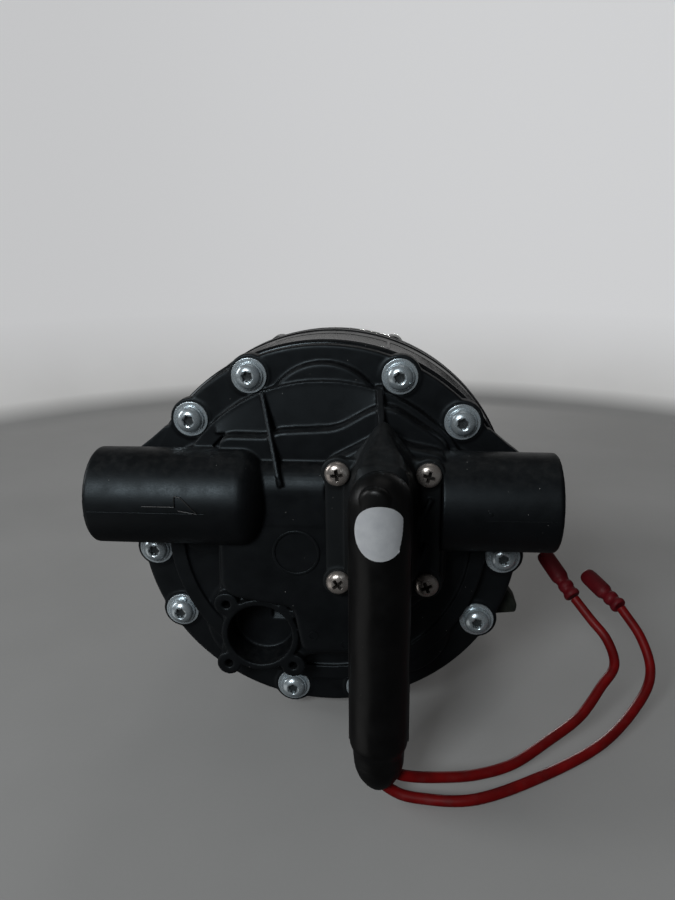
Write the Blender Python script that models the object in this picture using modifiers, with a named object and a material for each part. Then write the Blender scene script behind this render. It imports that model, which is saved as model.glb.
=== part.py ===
"""Five-chamber diaphragm pump with a pressure switch, lying on its base. Blender 4.5.

World frame: +Z up, +X towards the right-hand port, +Y from the pump head towards the motor's rear
end. The origin is the centre of the base's underside. Sizes below are millimetres and the helpers
turn them into metres. Head coordinates (x, y, z) start on the pump axis, in the plane that the tops
of the cover screws' washers share: x to the right, y backwards, z up.
"""

import math

import bmesh
import bpy
from mathutils import Euler, Vector

MM = 0.001
GAP = 0.3  # clearance between neighbouring pieces

# Where the pump stands
AXIS_Z = 68.0  # pump axis over the base's underside
HEAD_Y = -115.0  # washer-top plane
FOOT_BOTTOM_Z = -4.0

# Head cover
FLANGE_R = 67.0
FLANGE_FRONT_Y = 1.0
FLANGE_BACK_Y = 6.0
RING_R = 55.6
RING_FRONT_Y = -2.5
CHAMBER_STEP = 72.0
PAD_CIRCLE_R = 41.0
PAD_R = 20.5
PAD_FRONT_Y = -1.2
DECK_FRONT_Y = -10.0  # the raised deck inside the ring
BLOCK_FRONT_Y = -17.0  # the block that carries the pressure switch
BOLT_CIRCLE_R = 62.0
PAIR_HALF_ANGLE = 12.0
FIRST_PAIR_ANGLE = 36.0

# Ports
PORT_Y = -10.0
PORT_Z = 17.5
PORT_R = 16.25
PORT_BORE_R = 12.2
PORT_END_X = 76.0
RIGHT_PORT_ROOT_X = 39.2
SPARE_X, SPARE_Z = -22.4, -33.1
SPARE_HOLE_HALF = 11.5
SPARE_BORE_R = 11.4
SPARE_FRONT_Y = -13.0

# Pressure switch
SWITCH_X, SWITCH_Z = 20.4, 11.0
SWITCH_SCREW_HALF_X = 14.3
SWITCH_SCREW_HALF_Z = 18.6
SWITCH_PLATE_BACK_Y = BLOCK_FRONT_Y - GAP
SWITCH_PLATE_FRONT_Y = -20.5
TOWER_FRONT_Y = -37.5

# Rubber boot over the switch
HOOD_Y = -45.0
HOOD_R = 9.1
HOOD_WALL = 1.6
HOOD_TOP_Z = 38.0
HOOD_TIP_Z = -67.0
WIRE_R = 1.75

# Pump drive
VALVE_PLATE_BACK_Y = 18.0
CHAMBER_CIRCLE_R = 38.5
CHAMBER_R = 15.0
INLET_VALVE_CIRCLE_R = 43.0
PISTON_CIRCLE_R = 40.0
PISTON_R = 9.0
DIAPHRAGM_FRONT_Y = VALVE_PLATE_BACK_Y + GAP
DIAPHRAGM_BACK_Y = DIAPHRAGM_FRONT_Y + 3.0
PISTON_FRONT_Y = 24.4
WOBBLE_Y = 33.0  # where the cam's tilted axis crosses the pump axis
WOBBLE_TILT = 3.5  # degrees
DRUM_R = 68.0
DRUM_INNER_R = 57.6
LUG_SPANS = (60.0, 69.0), (8.0, 17.0), (-32.0, -22.0)  # x, y and z of the tie lug
DRUM_BACK_Y = 39.0
ADAPTER_BACK_Y = 50.0

# Motor
SHAFT_R = 4.0
CAN_R = 44.0
CAN_WALL = 2.0
CAN_FRONT_Y = ADAPTER_BACK_Y + GAP
CAN_BACK_Y = 165.0
THROUGH_BOLT_R = 2.4
THROUGH_BOLT_OFFSET = 38.5

# Base
PAD_HALF_X, PAD_HALF_Y = 34.0, 30.0
FOOT_X, FOOT_Y = 52.0, 38.0
EAR_BOTTOM_Z, EAR_TOP_Z = 5.0, 9.0


# ---------------------------------------------------------------- helpers


def clear_scene():
    for obj in list(bpy.data.objects):
        bpy.data.objects.remove(obj)


def head(x, y, z):
    """World position, in metres, of a point in head coordinates."""
    return Vector((x, y + HEAD_Y, z + AXIS_Z)) * MM


def world(x, y, z):
    return Vector((x, y, z)) * MM


def on_circle(radius, degrees):
    """(x, z) at an angle clockwise from the top, as seen from the front."""
    angle = math.radians(degrees)
    return radius * math.sin(angle), radius * math.cos(angle)


def add_object(mesh, place, turn=(0, 0, 0)):
    obj = bpy.data.objects.new(mesh.name, mesh)
    obj.location = place
    obj.rotation_euler = Euler(turn)
    bpy.context.scene.collection.objects.link(obj)
    return obj


def bake(obj):
    """Replaces the object's mesh by what its modifiers make of it."""
    graph = bpy.context.evaluated_depsgraph_get()
    mesh = bpy.data.meshes.new_from_object(obj.evaluated_get(graph))
    obj.modifiers.clear()
    obj.data = mesh
    return obj


def is_closed(mesh):
    bm = bmesh.new()
    bm.from_mesh(mesh)
    closed = all(len(edge.link_faces) == 2 for edge in bm.edges)
    bm.free()
    return closed


def combine(target, operation, tools):
    """Booleans with the EXACT solver, or with MANIFOLD where EXACT leaves an open edge."""
    for tool in tools:
        before = target.data
        for solver in ("EXACT", "MANIFOLD"):
            target.data = before
            modifier = target.modifiers.new(operation, "BOOLEAN")
            modifier.operation = operation
            modifier.solver = solver
            modifier.object = tool
            bake(target)
            if is_closed(target.data):
                break
        bpy.data.objects.remove(tool)
    return target


def join(target, *tools):
    return combine(target, "UNION", tools)


def cut(target, *tools):
    return combine(target, "DIFFERENCE", tools)


def keep(target, *tools):
    return combine(target, "INTERSECT", tools)


def box(size, centre, turn=(0, 0, 0)):
    """A box from its size in millimetres and its centre in metres."""
    bm = bmesh.new()
    bmesh.ops.create_cube(bm, size=1.0)
    bmesh.ops.scale(bm, vec=Vector(size) * MM, verts=bm.verts)
    mesh = bpy.data.meshes.new("box")
    bm.to_mesh(mesh)
    bm.free()
    return add_object(mesh, centre, turn)


def head_box(x, y, z):
    """A box between (low, high) pairs in head coordinates."""
    spans = (x, y, z)
    size = [high - low for low, high in spans]
    middle = [(high + low) / 2 for low, high in spans]
    return box(size, head(*middle))


def bevelled(obj, width, segments=2, angle=40):
    modifier = obj.modifiers.new("bevel", "BEVEL")
    modifier.width = width * MM
    modifier.segments = segments
    modifier.limit_method = "ANGLE"
    modifier.angle_limit = math.radians(angle)
    return bake(obj)


ALONG_X = (0, math.pi / 2, 0)
ALONG_Y = (-math.pi / 2, 0, 0)


def turned(profile, place, turn=(0, 0, 0), steps=32, loop=False):
    """Turns a profile of (radius, height) points about its height axis.
    A loop is a closed outline clear of the axis; any other profile starts and ends on the axis."""
    pairs = zip(profile, profile[1:] + profile[:1])
    area = sum(r0 * h1 - r1 * h0 for (r0, h0), (r1, h1) in pairs)
    points = profile if area < 0 else profile[::-1]
    edges = [(i, i + 1) for i in range(len(points) - 1)]
    if loop:
        edges.append((len(points) - 1, 0))
    mesh = bpy.data.meshes.new("turned")
    mesh.from_pydata([(r * MM, 0, h * MM) for r, h in points], edges, [])
    obj = add_object(mesh, place, turn)
    screw = obj.modifiers.new("turn", "SCREW")
    screw.steps = screw.render_steps = steps
    screw.use_merge_vertices = True
    screw.merge_threshold = 1e-6
    return bake(obj)


def disc_profile(radius, low, high):
    return [(0, high), (radius, high), (radius, low), (0, low)]


def ring_profile(outer, inner, low, high):
    return [(inner, high), (outer, high), (outer, low), (inner, low)]


def rod(radius, low, high, x=0.0, z=0.0, steps=32):
    """A cylinder along Y between two head-coordinate y values."""
    return turned(disc_profile(radius, low, high), head(x, 0, z), ALONG_Y, steps)


def rod_x(radius, low, high, y, z, steps=32):
    return turned(disc_profile(radius, low, high), head(0, y, z), ALONG_X, steps)


def ring(outer, inner, low, high, x=0.0, z=0.0, steps=32):
    return turned(ring_profile(outer, inner, low, high), head(x, 0, z), ALONG_Y, steps, True)


def tilted(profile, x=0.0, z=0.0, steps=32, loop=False):
    """A turned piece on the cam's tilted frame; heights are head-coordinate y values at no tilt."""
    tilt = math.radians(WOBBLE_TILT)
    frame = Euler((tilt, 0, 0)).to_matrix()
    place = head(0, WOBBLE_Y, 0) + frame @ (Vector((x, 0, z)) * MM)
    shifted = [(r, h - WOBBLE_Y) for r, h in profile]
    return turned(shifted, place, (tilt - math.pi / 2, 0, 0), steps, loop)


def plate(outline, low, high):
    """An outline of (x, z) points in head coordinates, extruded between two y values."""
    curve = bpy.data.curves.new("outline", "CURVE")
    curve.dimensions = "2D"
    curve.fill_mode = "BOTH"
    curve.extrude = (high - low) / 2 * MM
    spline = curve.splines.new("POLY")
    spline.points.add(len(outline) - 1)
    for point, (x, z) in zip(spline.points, outline):
        point.co = (x * MM, z * MM, 0, 1)
    spline.use_cyclic_u = True
    guide = add_object(curve, head(0, (low + high) / 2, 0), (math.pi / 2, 0, 0))
    return meshed(guide)


def meshed(guide):
    """A mesh object in place of a curve object, with its caps welded."""
    graph = bpy.context.evaluated_depsgraph_get()
    mesh = bpy.data.meshes.new_from_object(guide.evaluated_get(graph))
    bm = bmesh.new()
    bm.from_mesh(mesh)
    bmesh.ops.remove_doubles(bm, verts=bm.verts, dist=1e-6)
    bmesh.ops.recalc_face_normals(bm, faces=bm.faces)
    bm.to_mesh(mesh)
    bm.free()
    obj = add_object(mesh, guide.location, guide.rotation_euler)
    bpy.data.objects.remove(guide)
    return obj


def swept(points, radius, resolution=1):
    """A round bar along a path of head-coordinate points."""
    curve = bpy.data.curves.new("path", "CURVE")
    curve.dimensions = "3D"
    curve.bevel_depth = radius * MM
    curve.bevel_resolution = resolution
    curve.use_fill_caps = True
    spline = curve.splines.new("POLY")
    spline.points.add(len(points) - 1)
    for point, position in zip(spline.points, points):
        point.co = (*head(*position), 1)
    return meshed(add_object(curve, (0, 0, 0)))


def smooth_path(knots, per_span):
    """Catmull-Rom points through the knots."""
    ends = [2 * Vector(knots[0]) - Vector(knots[1]), 2 * Vector(knots[-1]) - Vector(knots[-2])]
    points = [ends[0], *map(Vector, knots), ends[1]]
    path = []
    for a, b, c, d in zip(points, points[1:], points[2:], points[3:]):
        for step in range(per_span):
            t = step / per_span
            path.append(
                0.5 * (2 * b + (c - a) * t + (2 * a - 5 * b + 4 * c - d) * t**2)
                + 0.5 * (3 * b - 3 * c + d - a) * t**3
            )
    return [*path, points[-2]]


# ---------------------------------------------------------------- materials and bodies


def material(name, color, roughness, metallic=0.0):
    made = bpy.data.materials.new(name)
    made.use_nodes = True
    shader = made.node_tree.nodes["Principled BSDF"]
    shader.inputs["Base Color"].default_value = (*color, 1)
    shader.inputs["Roughness"].default_value = roughness
    shader.inputs["Metallic"].default_value = metallic
    made.diffuse_color = (*color, 1)
    return made


def make_materials():
    return {
        "housing": material("housing_plastic", (0.018, 0.019, 0.021), 0.42),
        "rubber": material("black_rubber", (0.022, 0.022, 0.023), 0.6),
        "zinc": material("zinc_plate", (0.62, 0.66, 0.70), 0.28, 1.0),
        "stainless": material("stainless", (0.66, 0.62, 0.57), 0.24, 1.0),
        "steel": material("steel", (0.45, 0.46, 0.48), 0.35, 1.0),
        "motor_paint": material("motor_paint", (0.02, 0.02, 0.022), 0.4),
        "copper": material("copper", (0.72, 0.38, 0.22), 0.35, 1.0),
        "magnet": material("ferrite", (0.06, 0.06, 0.065), 0.7),
        "carbon": material("carbon", (0.05, 0.05, 0.05), 0.8),
        "nylon": material("white_nylon", (0.78, 0.77, 0.72), 0.45),
        "valve": material("valve_rubber", (0.03, 0.03, 0.03), 0.55),
        "paper": material("label_paper", (0.80, 0.81, 0.82), 0.6),
        "wire": material("wire_red", (0.62, 0.02, 0.03), 0.45),
        "terminal": material("terminal_red", (0.42, 0.02, 0.06), 0.5),
    }


class Assembly:
    """Names the finished pieces, gives them a material and hangs them on their body's empty."""

    def __init__(self):
        self.materials = make_materials()
        self.collection = bpy.data.collections.new("bilge_pump")
        bpy.context.scene.collection.children.link(self.collection)
        self.bodies = {}

    def body(self, name, place, turn=(0, 0, 0), parent=None):
        empty = bpy.data.objects.new(f"{name}_axis", None)
        empty.location = place
        empty.rotation_euler = Euler(turn)
        self.collection.objects.link(empty)
        self.bodies[name] = empty
        if parent:
            self.hang(empty, parent)

    def hang(self, obj, body):
        bpy.context.view_layer.update()
        obj.parent = self.bodies[body]
        obj.matrix_parent_inverse = self.bodies[body].matrix_world.inverted()

    def add(self, name, obj, material_name, body="pump_body"):
        obj.name = name
        obj.data.name = name
        obj.data.materials.clear()
        obj.data.materials.append(self.materials[material_name])
        obj.data.shade_smooth()
        obj.data.set_sharp_from_angle(angle=math.radians(35))
        bpy.context.scene.collection.objects.unlink(obj)
        self.collection.objects.link(obj)
        self.hang(obj, body)


# ---------------------------------------------------------------- pump head


def bolt_angles():
    """The ten cover screws stand in five pairs, either side of the gaps between chambers."""
    for pair in range(5):
        middle = FIRST_PAIR_ANGLE + CHAMBER_STEP * pair
        yield from (middle - PAIR_HALF_ANGLE, middle + PAIR_HALF_ANGLE)


def chamber_angles():
    return [CHAMBER_STEP * i for i in range(5)]


DECK_OUTLINE = [
    (-36, 38.5), (3, 38.5), (17, 46.5), (24, 46.5), (41.5, 35), (41.5, -13),
    (30, -22), (18, -43), (-6, -43), (-10, -46), (-35, -46), (-37, -20),
]  # fmt: skip
BLOCK_OUTLINE = [
    (-29, 27), (0.5, 27), (0.5, 34.8), (40.3, 34.8), (40.3, -12),
    (29, -14), (20, -38), (-7, -38), (-10, -19), (-29, -16),
]  # fmt: skip


def spare_port_body():
    """The empty square port flange at the lower left: a bored ring with four screw bosses."""
    wall = 2.1
    body = rod(SPARE_BORE_R + wall, SPARE_FRONT_Y, FLANGE_FRONT_Y + 1, SPARE_X, SPARE_Z, 24)
    half = SPARE_HOLE_HALF
    for side_x, side_z in ((-1, -1), (-1, 1), (1, -1), (1, 1)):
        x, z = SPARE_X + side_x * half, SPARE_Z + side_z * half
        join(body, rod(4.4, SPARE_FRONT_Y, FLANGE_FRONT_Y + 1.5, x, z, 12))
    return body


def spare_port_cutters():
    half = SPARE_HOLE_HALF
    holes = [rod(SPARE_BORE_R, SPARE_FRONT_Y - 1, -2.5, SPARE_X, SPARE_Z, 24)]
    for side_x, side_z in ((-1, -1), (-1, 1), (1, -1), (1, 1)):
        x, z = SPARE_X + side_x * half, SPARE_Z + side_z * half
        holes.append(rod(1.4, SPARE_FRONT_Y - 1, SPARE_FRONT_Y + 8, x, z, 8))
    return holes


def gusset(top, bottom, thickness):
    """A web between two (x, y, z) points on its sloping front edge, rooted in the flange."""
    (x0, y0, z0), (x1, y1, z1) = top, bottom
    root = FLANGE_FRONT_Y + 1.5
    side = math.atan2(x1 - x0, z0 - z1)
    length = math.hypot(x1 - x0, z0 - z1)
    curve = bpy.data.curves.new("web", "CURVE")
    curve.dimensions = "2D"
    curve.fill_mode = "BOTH"
    curve.extrude = thickness / 2 * MM
    spline = curve.splines.new("POLY")
    corners = [(y0, 0), (root, 0), (root, -length), (y1, -length)]
    spline.points.add(len(corners) - 1)
    for point, (y, down) in zip(spline.points, corners):
        point.co = (y * MM, down * MM, 0, 1)
    spline.use_cyclic_u = True
    # The outline's own x runs along the head's y and its y runs up the web.
    turn = (Euler((0, -side, 0)).to_matrix() @ Euler((math.pi / 2, 0, math.pi / 2)).to_matrix())
    return meshed(add_object(curve, head(x0, 0, z0), turn.to_euler()))


def make_head_cover():
    cover = rod(FLANGE_R, FLANGE_FRONT_Y, FLANGE_BACK_Y, steps=48)
    for angle in chamber_angles():
        x, z = on_circle(PAD_CIRCLE_R, angle)
        join(cover, rod(PAD_R, PAD_FRONT_Y, FLANGE_FRONT_Y + 1, x, z, 20))
    join(
        cover,
        ring(RING_R, RING_R - 2.2, RING_FRONT_Y, FLANGE_FRONT_Y + 1, steps=48),
        plate(DECK_OUTLINE, DECK_FRONT_Y, FLANGE_FRONT_Y + 1.2),
        bevelled(plate(BLOCK_OUTLINE, BLOCK_FRONT_Y, FLANGE_FRONT_Y + 1.4), 2.5, 1),
        gusset((-20.5, -3.5, 51.5), (-13, -17.5, 25), 2.4),
        gusset((18.8, -5, 50), (20.4, -19, 34.7), 4.4),
        rod_x(PORT_R, -PORT_END_X, -31, PORT_Y, PORT_Z, 28),
        rod_x(PORT_R, RIGHT_PORT_ROOT_X, PORT_END_X, PORT_Y, PORT_Z, 28),
        head_box((-60, -30), (PORT_Y, FLANGE_FRONT_Y + 2), (PORT_Z - 9, PORT_Z + 9)),
        head_box((RIGHT_PORT_ROOT_X, 60), (PORT_Y, FLANGE_FRONT_Y + 2), (PORT_Z - 9, PORT_Z + 9)),
        ring(7.9, 6.9, BLOCK_FRONT_Y - 0.5, BLOCK_FRONT_Y + 1, -9, -0.5, 20),
        spare_port_body(),
    )
    # Screw holes, ports, the outlet cavity with its way to the right port, and the inlet groove
    cut(cover, *[rod(2.85, -1, 8, *on_circle(BOLT_CIRCLE_R, a), 8) for a in bolt_angles()])
    cut(
        cover,
        *spare_port_cutters(),
        rod_x(PORT_BORE_R, -PORT_END_X - 1, -34, PORT_Y, PORT_Z, 24),
        rod_x(PORT_BORE_R, 41, PORT_END_X + 1, PORT_Y, PORT_Z, 24),
        rod(28, -8, FLANGE_BACK_Y + 1, steps=28),
        rod_x(6, 15, 45, -5, PORT_Z, 12),
        ring(51, 31, 3.6, FLANGE_BACK_Y + 1, steps=28),
        rod(7, PORT_Y, FLANGE_BACK_Y + 0.5, -41, PORT_Z, 12),
        rod(2.0, BLOCK_FRONT_Y - 1, -6, SWITCH_X, SWITCH_Z, 10),
        rod(10.4, BLOCK_FRONT_Y - 1, BLOCK_FRONT_Y + 1.6, SWITCH_X, SWITCH_Z, 20),
        ring(57.1, 54.5, 4.4, FLANGE_BACK_Y + 1, steps=36),
    )
    cut(cover, *[rod(1.8, BLOCK_FRONT_Y - 1, -7, x, z, 8) for x, z in switch_screw_places()])
    return cover


def make_cover_screw(angle):
    """Button-head screw with its captive flat and spring washers."""
    profile = [
        (0, 26), (2.5, 25), (2.5, 1 - GAP), (6, 1 - GAP), (6, 0), (4.4, 0), (4.4, -1.1), (4.25, -2.2),
        (3.0, -3.6), (0, -3.6),
    ]  # fmt: skip
    x, z = on_circle(BOLT_CIRCLE_R, angle)
    screw = turned(profile, head(x, 0, z), ALONG_Y, 12)
    return cut(screw, rod(1.9, -5, -2.0, x, z, 6))


def switch_screw_places():
    return [
        (SWITCH_X + side_x * SWITCH_SCREW_HALF_X, SWITCH_Z + side_z * SWITCH_SCREW_HALF_Z)
        for side_x, side_z in ((-1, 1), (1, 1), (-1, -1), (1, -1))
    ]


def make_switch_screw(x, z):
    """Pan-head screw with a cross recess."""
    front = SWITCH_PLATE_FRONT_Y - GAP
    profile = [
        (0, -8), (1.45, -8), (1.45, front), (4, front), (4, front - 1.3), (2.6, front - 2.8),
        (0, front - 2.8),
    ]  # fmt: skip
    screw = turned(profile, head(x, 0, z), ALONG_Y, 12)
    depth = (front - 4, front - 1.4)
    slots = [
        head_box((x - 2, x + 2), depth, (z - 0.45, z + 0.45)),
        head_box((x - 0.45, x + 0.45), depth, (z - 2, z + 2)),
    ]
    return cut(screw, *slots)


def make_valve_plate():
    """Pump chambers behind, inlet holes under the umbrella valves, outlet holes near the centre."""
    front = FLANGE_BACK_Y + GAP
    valve_plate = rod(57.2, front, VALVE_PLATE_BACK_Y, steps=40)
    for angle in chamber_angles():
        x, z = on_circle(CHAMBER_CIRCLE_R, angle)
        cut(valve_plate, rod(CHAMBER_R, 11.6, VALVE_PLATE_BACK_Y + 1, x, z, 16))
    holes = [rod(2.8, 0, 20, steps=10)]
    for angle in chamber_angles():
        holes.append(rod(1.4, 0, 20, *on_circle(25.3, angle), 6))
        seat_x, seat_z = on_circle(INLET_VALVE_CIRCLE_R, angle)
        holes.append(rod(1.75, 0, 20, seat_x, seat_z, 6))
        for side in (-90, 90):
            x, z = on_circle(4.3, angle + side)
            holes.append(rod(1.2, 0, 20, seat_x + x, seat_z + z, 6))
    return cut(valve_plate, *holes)


def make_inlet_valve(angle):
    """Umbrella valve: a thin disc in the chamber with its stem through the valve plate."""
    profile = [
        (0, 13.2), (6.4, 12.6), (6.4, 11.9), (1.2, 11.9), (1.2, 5.0), (0, 4.6),
    ]  # fmt: skip
    x, z = on_circle(INLET_VALVE_CIRCLE_R, angle)
    return turned(profile, head(x, 0, z), ALONG_Y, 10)


def make_outlet_valve():
    """Five-lobed rubber disc over the outlet holes, with a stem in the centre hole."""
    valve = rod(22, 4.8, 6.0, steps=16)
    for angle in chamber_angles():
        join(valve, rod(5.5, 4.8, 6.0, *on_circle(22, angle), 10))
    return join(valve, rod(2.4, 5.5, 12, steps=10))


def make_diaphragm():
    """One sheet with five thick pucks that follow the tilted pistons."""
    sheet = rod(57.2, DIAPHRAGM_FRONT_Y, DIAPHRAGM_BACK_Y, steps=40)
    for angle in chamber_angles():
        x, z = on_circle(PISTON_CIRCLE_R, angle)
        puck = disc_profile(PISTON_R, DIAPHRAGM_FRONT_Y - 0.8, PISTON_FRONT_Y - GAP)
        join(sheet, tilted(puck, x, z, 14))
    return sheet


def make_drive_housing():
    """The drum: screw bosses in its wall and a ledge that carries the diaphragm's rim."""
    ledge_front = DIAPHRAGM_BACK_Y + GAP
    profile = [
        (DRUM_INNER_R, FLANGE_BACK_Y + GAP), (DRUM_R, FLANGE_BACK_Y + GAP), (DRUM_R, DRUM_BACK_Y),
        (DRUM_INNER_R, DRUM_BACK_Y), (DRUM_INNER_R, ledge_front + 3.4), (51, ledge_front + 3.4),
        (51, ledge_front), (DRUM_INNER_R, ledge_front),
    ]  # fmt: skip
    drum = turned(profile, head(0, 0, 0), ALONG_Y, 40, True)
    join(drum, head_box(*LUG_SPANS))
    return cut(drum, *[rod(2.9, 0, 28, *on_circle(BOLT_CIRCLE_R, a), 8) for a in bolt_angles()])


def make_motor_adapter():
    """Rear ring of the drum: it closes the drive housing and carries the motor and front bearing."""
    front = DRUM_BACK_Y + GAP
    profile = [
        (DRUM_R, front), (DRUM_R, ADAPTER_BACK_Y), (5.4, ADAPTER_BACK_Y), (5.4, 49.4), (11.3, 49.4),
        (11.3, 42), (15, 42), (15, 46), (62, 46), (62, front),
    ]  # fmt: skip
    adapter = turned(profile, head(0, 0, 0), ALONG_Y, 40, True)
    for angle in (20, 160, 200, 340):
        join(adapter, rod(4.2, 44, 52.5, *on_circle(64.8, angle), 8))
    bolts = [(0, THROUGH_BOLT_OFFSET), (0, -THROUGH_BOLT_OFFSET)]
    return cut(adapter, *[rod(THROUGH_BOLT_R + GAP, 43, 52, x, z, 10) for x, z in bolts])


# ---------------------------------------------------------------- drive and motor


def make_cam_hub():
    """The hub's bearing seat and shoulder are tilted, and its bore is straight on the shaft."""
    seat = [(0, 38.5), (0, 27.5), (8.2, 27.5), (8.2, 38.4), (10.5, 38.4), (10.5, 40.3), (0, 40.3)]
    hub = tilted(seat[1:], steps=24)
    return cut(hub, rod(SHAFT_R + GAP, 20, 45, steps=16))


def make_wobble_plate():
    """Bearing hub, five arms and five piston pads, all on the tilted frame."""
    tilt = math.radians(WOBBLE_TILT)
    hub = tilted(ring_profile(24, 17.85, 28, 38.5), steps=28, loop=True)
    middle_r = (22 + PISTON_CIRCLE_R) / 2
    for angle in chamber_angles():
        x, z = on_circle(middle_r, angle)
        turn = Euler((tilt, 0, 0)).to_matrix() @ Euler((0, math.radians(angle), 0)).to_matrix()
        offset = Euler((tilt, 0, 0)).to_matrix() @ (Vector((x, 30 - WOBBLE_Y, z)) * MM)
        arm_size = (9, 4, PISTON_CIRCLE_R - 22)
        join(hub, box(arm_size, head(0, WOBBLE_Y, 0) + offset, turn.to_euler()))
        x, z = on_circle(PISTON_CIRCLE_R, angle)
        join(hub, tilted(disc_profile(PISTON_R, PISTON_FRONT_Y, 32.5), x, z, 14))
    return hub


def make_armature():
    core = ring(34.4, SHAFT_R + GAP, 74, 136, steps=32)
    slots = []
    for index in range(8):
        x, z = on_circle(30, 360 / 8 * (index + 0.5))
        turn = (0, math.radians(360 / 8 * (index + 0.5)), 0)
        slots.append(box((5, 70, 16), head(x, 105, z), turn))
    return cut(core, *slots)


def make_magnet(side):
    shell = ring(CAN_R - CAN_WALL - GAP, 35.6, 70, 140, steps=40)
    half_gap = 14
    spans = sorted((side * half_gap, side * 60))
    return keep(shell, head_box(spans, (60, 150), (-60, 60)))


def make_motor_can():
    """Drawn steel cup: front wall with a hole for the bearing boss, open at the rear."""
    inner = CAN_R - CAN_WALL
    profile = [
        (16, CAN_FRONT_Y), (CAN_R - 2, CAN_FRONT_Y), (CAN_R, CAN_FRONT_Y + 2), (CAN_R, CAN_BACK_Y),
        (inner, CAN_BACK_Y), (inner, CAN_FRONT_Y + CAN_WALL), (16, CAN_FRONT_Y + CAN_WALL),
    ]  # fmt: skip
    can = turned(profile, head(0, 0, 0), ALONG_Y, 40, True)
    bolts = [(0, THROUGH_BOLT_OFFSET), (0, -THROUGH_BOLT_OFFSET)]
    return cut(can, *[rod(THROUGH_BOLT_R + GAP, 45, 58, x, z, 10) for x, z in bolts])


def make_rear_end_bell():
    """End cap with the rear bearing's seat and the two brush holders."""
    face = CAN_BACK_Y + GAP
    profile = [
        (0, face + 12), (11, face + 12), (13, face + 10), (13, face + 6), (41, face + 5),
        (CAN_R, face + 3), (CAN_R, face), (9.8, face), (9.8, face + 8), (0, face + 8),
    ]  # fmt: skip
    bell = turned(profile, head(0, 0, 0), ALONG_Y, 40)
    for side in (-1, 1):
        join(bell, head_box(sorted((side * 14, side * 27)), (146, face + 1), (-6, 6)))
        cut(bell, head_box(sorted((side * 10, side * 30)), (148, 156), (-3.3, 3.3)))
    bolts = [(0, THROUGH_BOLT_OFFSET), (0, -THROUGH_BOLT_OFFSET)]
    return cut(bell, *[rod(THROUGH_BOLT_R + GAP, 160, 180, x, z, 10) for x, z in bolts])


def make_through_bolt(side):
    face = CAN_BACK_Y + 5 + 2 * GAP
    profile = [
        (0, face + 3), (3.6, face + 3), (4.2, face + 2), (4.2, face), (THROUGH_BOLT_R, face),
        (THROUGH_BOLT_R, 44), (0, 44),
    ]  # fmt: skip
    return turned(profile, head(0, 0, side * THROUGH_BOLT_OFFSET), ALONG_Y, 12)


def make_brush(side):
    spans = sorted((side * 12.5, side * 25))
    return head_box(spans, (148 + GAP, 156 - GAP), (-3, 3))


# ---------------------------------------------------------------- base


def make_base_plate():
    """Pad, four foot ears and a saddle that takes the motor can."""
    pad_top = 9.0
    pad = box((2 * PAD_HALF_X, 2 * PAD_HALF_Y, pad_top), world(0, 0, pad_top / 2))
    for side in (-1, 1):
        ear_thickness = EAR_TOP_Z - EAR_BOTTOM_Z - 0.2
        ear_middle = (EAR_TOP_Z + EAR_BOTTOM_Z) / 2
        bar = box((2 * FOOT_X, 18, ear_thickness), world(0, side * FOOT_Y, ear_middle))
        join(pad, bar)
        for x in (-FOOT_X, FOOT_X):
            disc = disc_profile(9, EAR_BOTTOM_Z + 0.05, EAR_TOP_Z - 0.05)
            join(pad, turned(disc, world(x, side * FOOT_Y, 0), steps=16))
        saddle = box((56, 9, 26), world(0, side * 24, 20))
        join(pad, saddle)
    cut(pad, rod(CAN_R + GAP, 40, 190, steps=40))
    for x in (-FOOT_X, FOOT_X):
        for y in (-FOOT_Y, FOOT_Y):
            cut(pad, turned(disc_profile(5.2, -5, 15), world(x, y, 0), steps=12))
    return pad


def make_foot(x, y):
    """Rubber grommet foot: it grips the ear in its groove and takes a screw down its middle."""
    low, high = EAR_BOTTOM_Z - GAP, EAR_TOP_Z + GAP
    profile = [
        (2.4, high + 3), (6, high + 3), (7, high + 2), (7, high), (4.8, high), (4.8, low), (8.5, low),
        (9.5, low - 3), (9, FOOT_BOTTOM_Z), (2.4, FOOT_BOTTOM_Z),
    ]  # fmt: skip
    return turned(profile, world(x, y, 0), steps=12, loop=True)


# ---------------------------------------------------------------- pressure switch


def tower_section(half_x, half_z, y):
    return [
        head(SWITCH_X + side_x * half_x, y, SWITCH_Z + side_z * half_z)
        for side_x, side_z in ((-1, -1), (1, -1), (1, 1), (-1, 1))
    ]


def make_tower():
    """Pyramid from the switch plate up to the boot: a loft between two rectangles."""
    bm = bmesh.new()
    sections = (
        tower_section(13.5, 17.5, SWITCH_PLATE_FRONT_Y + 1.5),
        tower_section(6.6, 14.5, TOWER_FRONT_Y),
    )
    loops = [[bm.verts.new(point) for point in section] for section in sections]
    bm.faces.new(loops[0])
    bm.faces.new(loops[1])
    for i in range(4):
        j = (i + 1) % 4
        bm.faces.new((loops[0][i], loops[0][j], loops[1][j], loops[1][i]))
    bmesh.ops.recalc_face_normals(bm, faces=bm.faces)
    mesh = bpy.data.meshes.new("tower")
    bm.to_mesh(mesh)
    bm.free()
    return bevelled(add_object(mesh, (0, 0, 0)), 1.6, 2)


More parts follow.
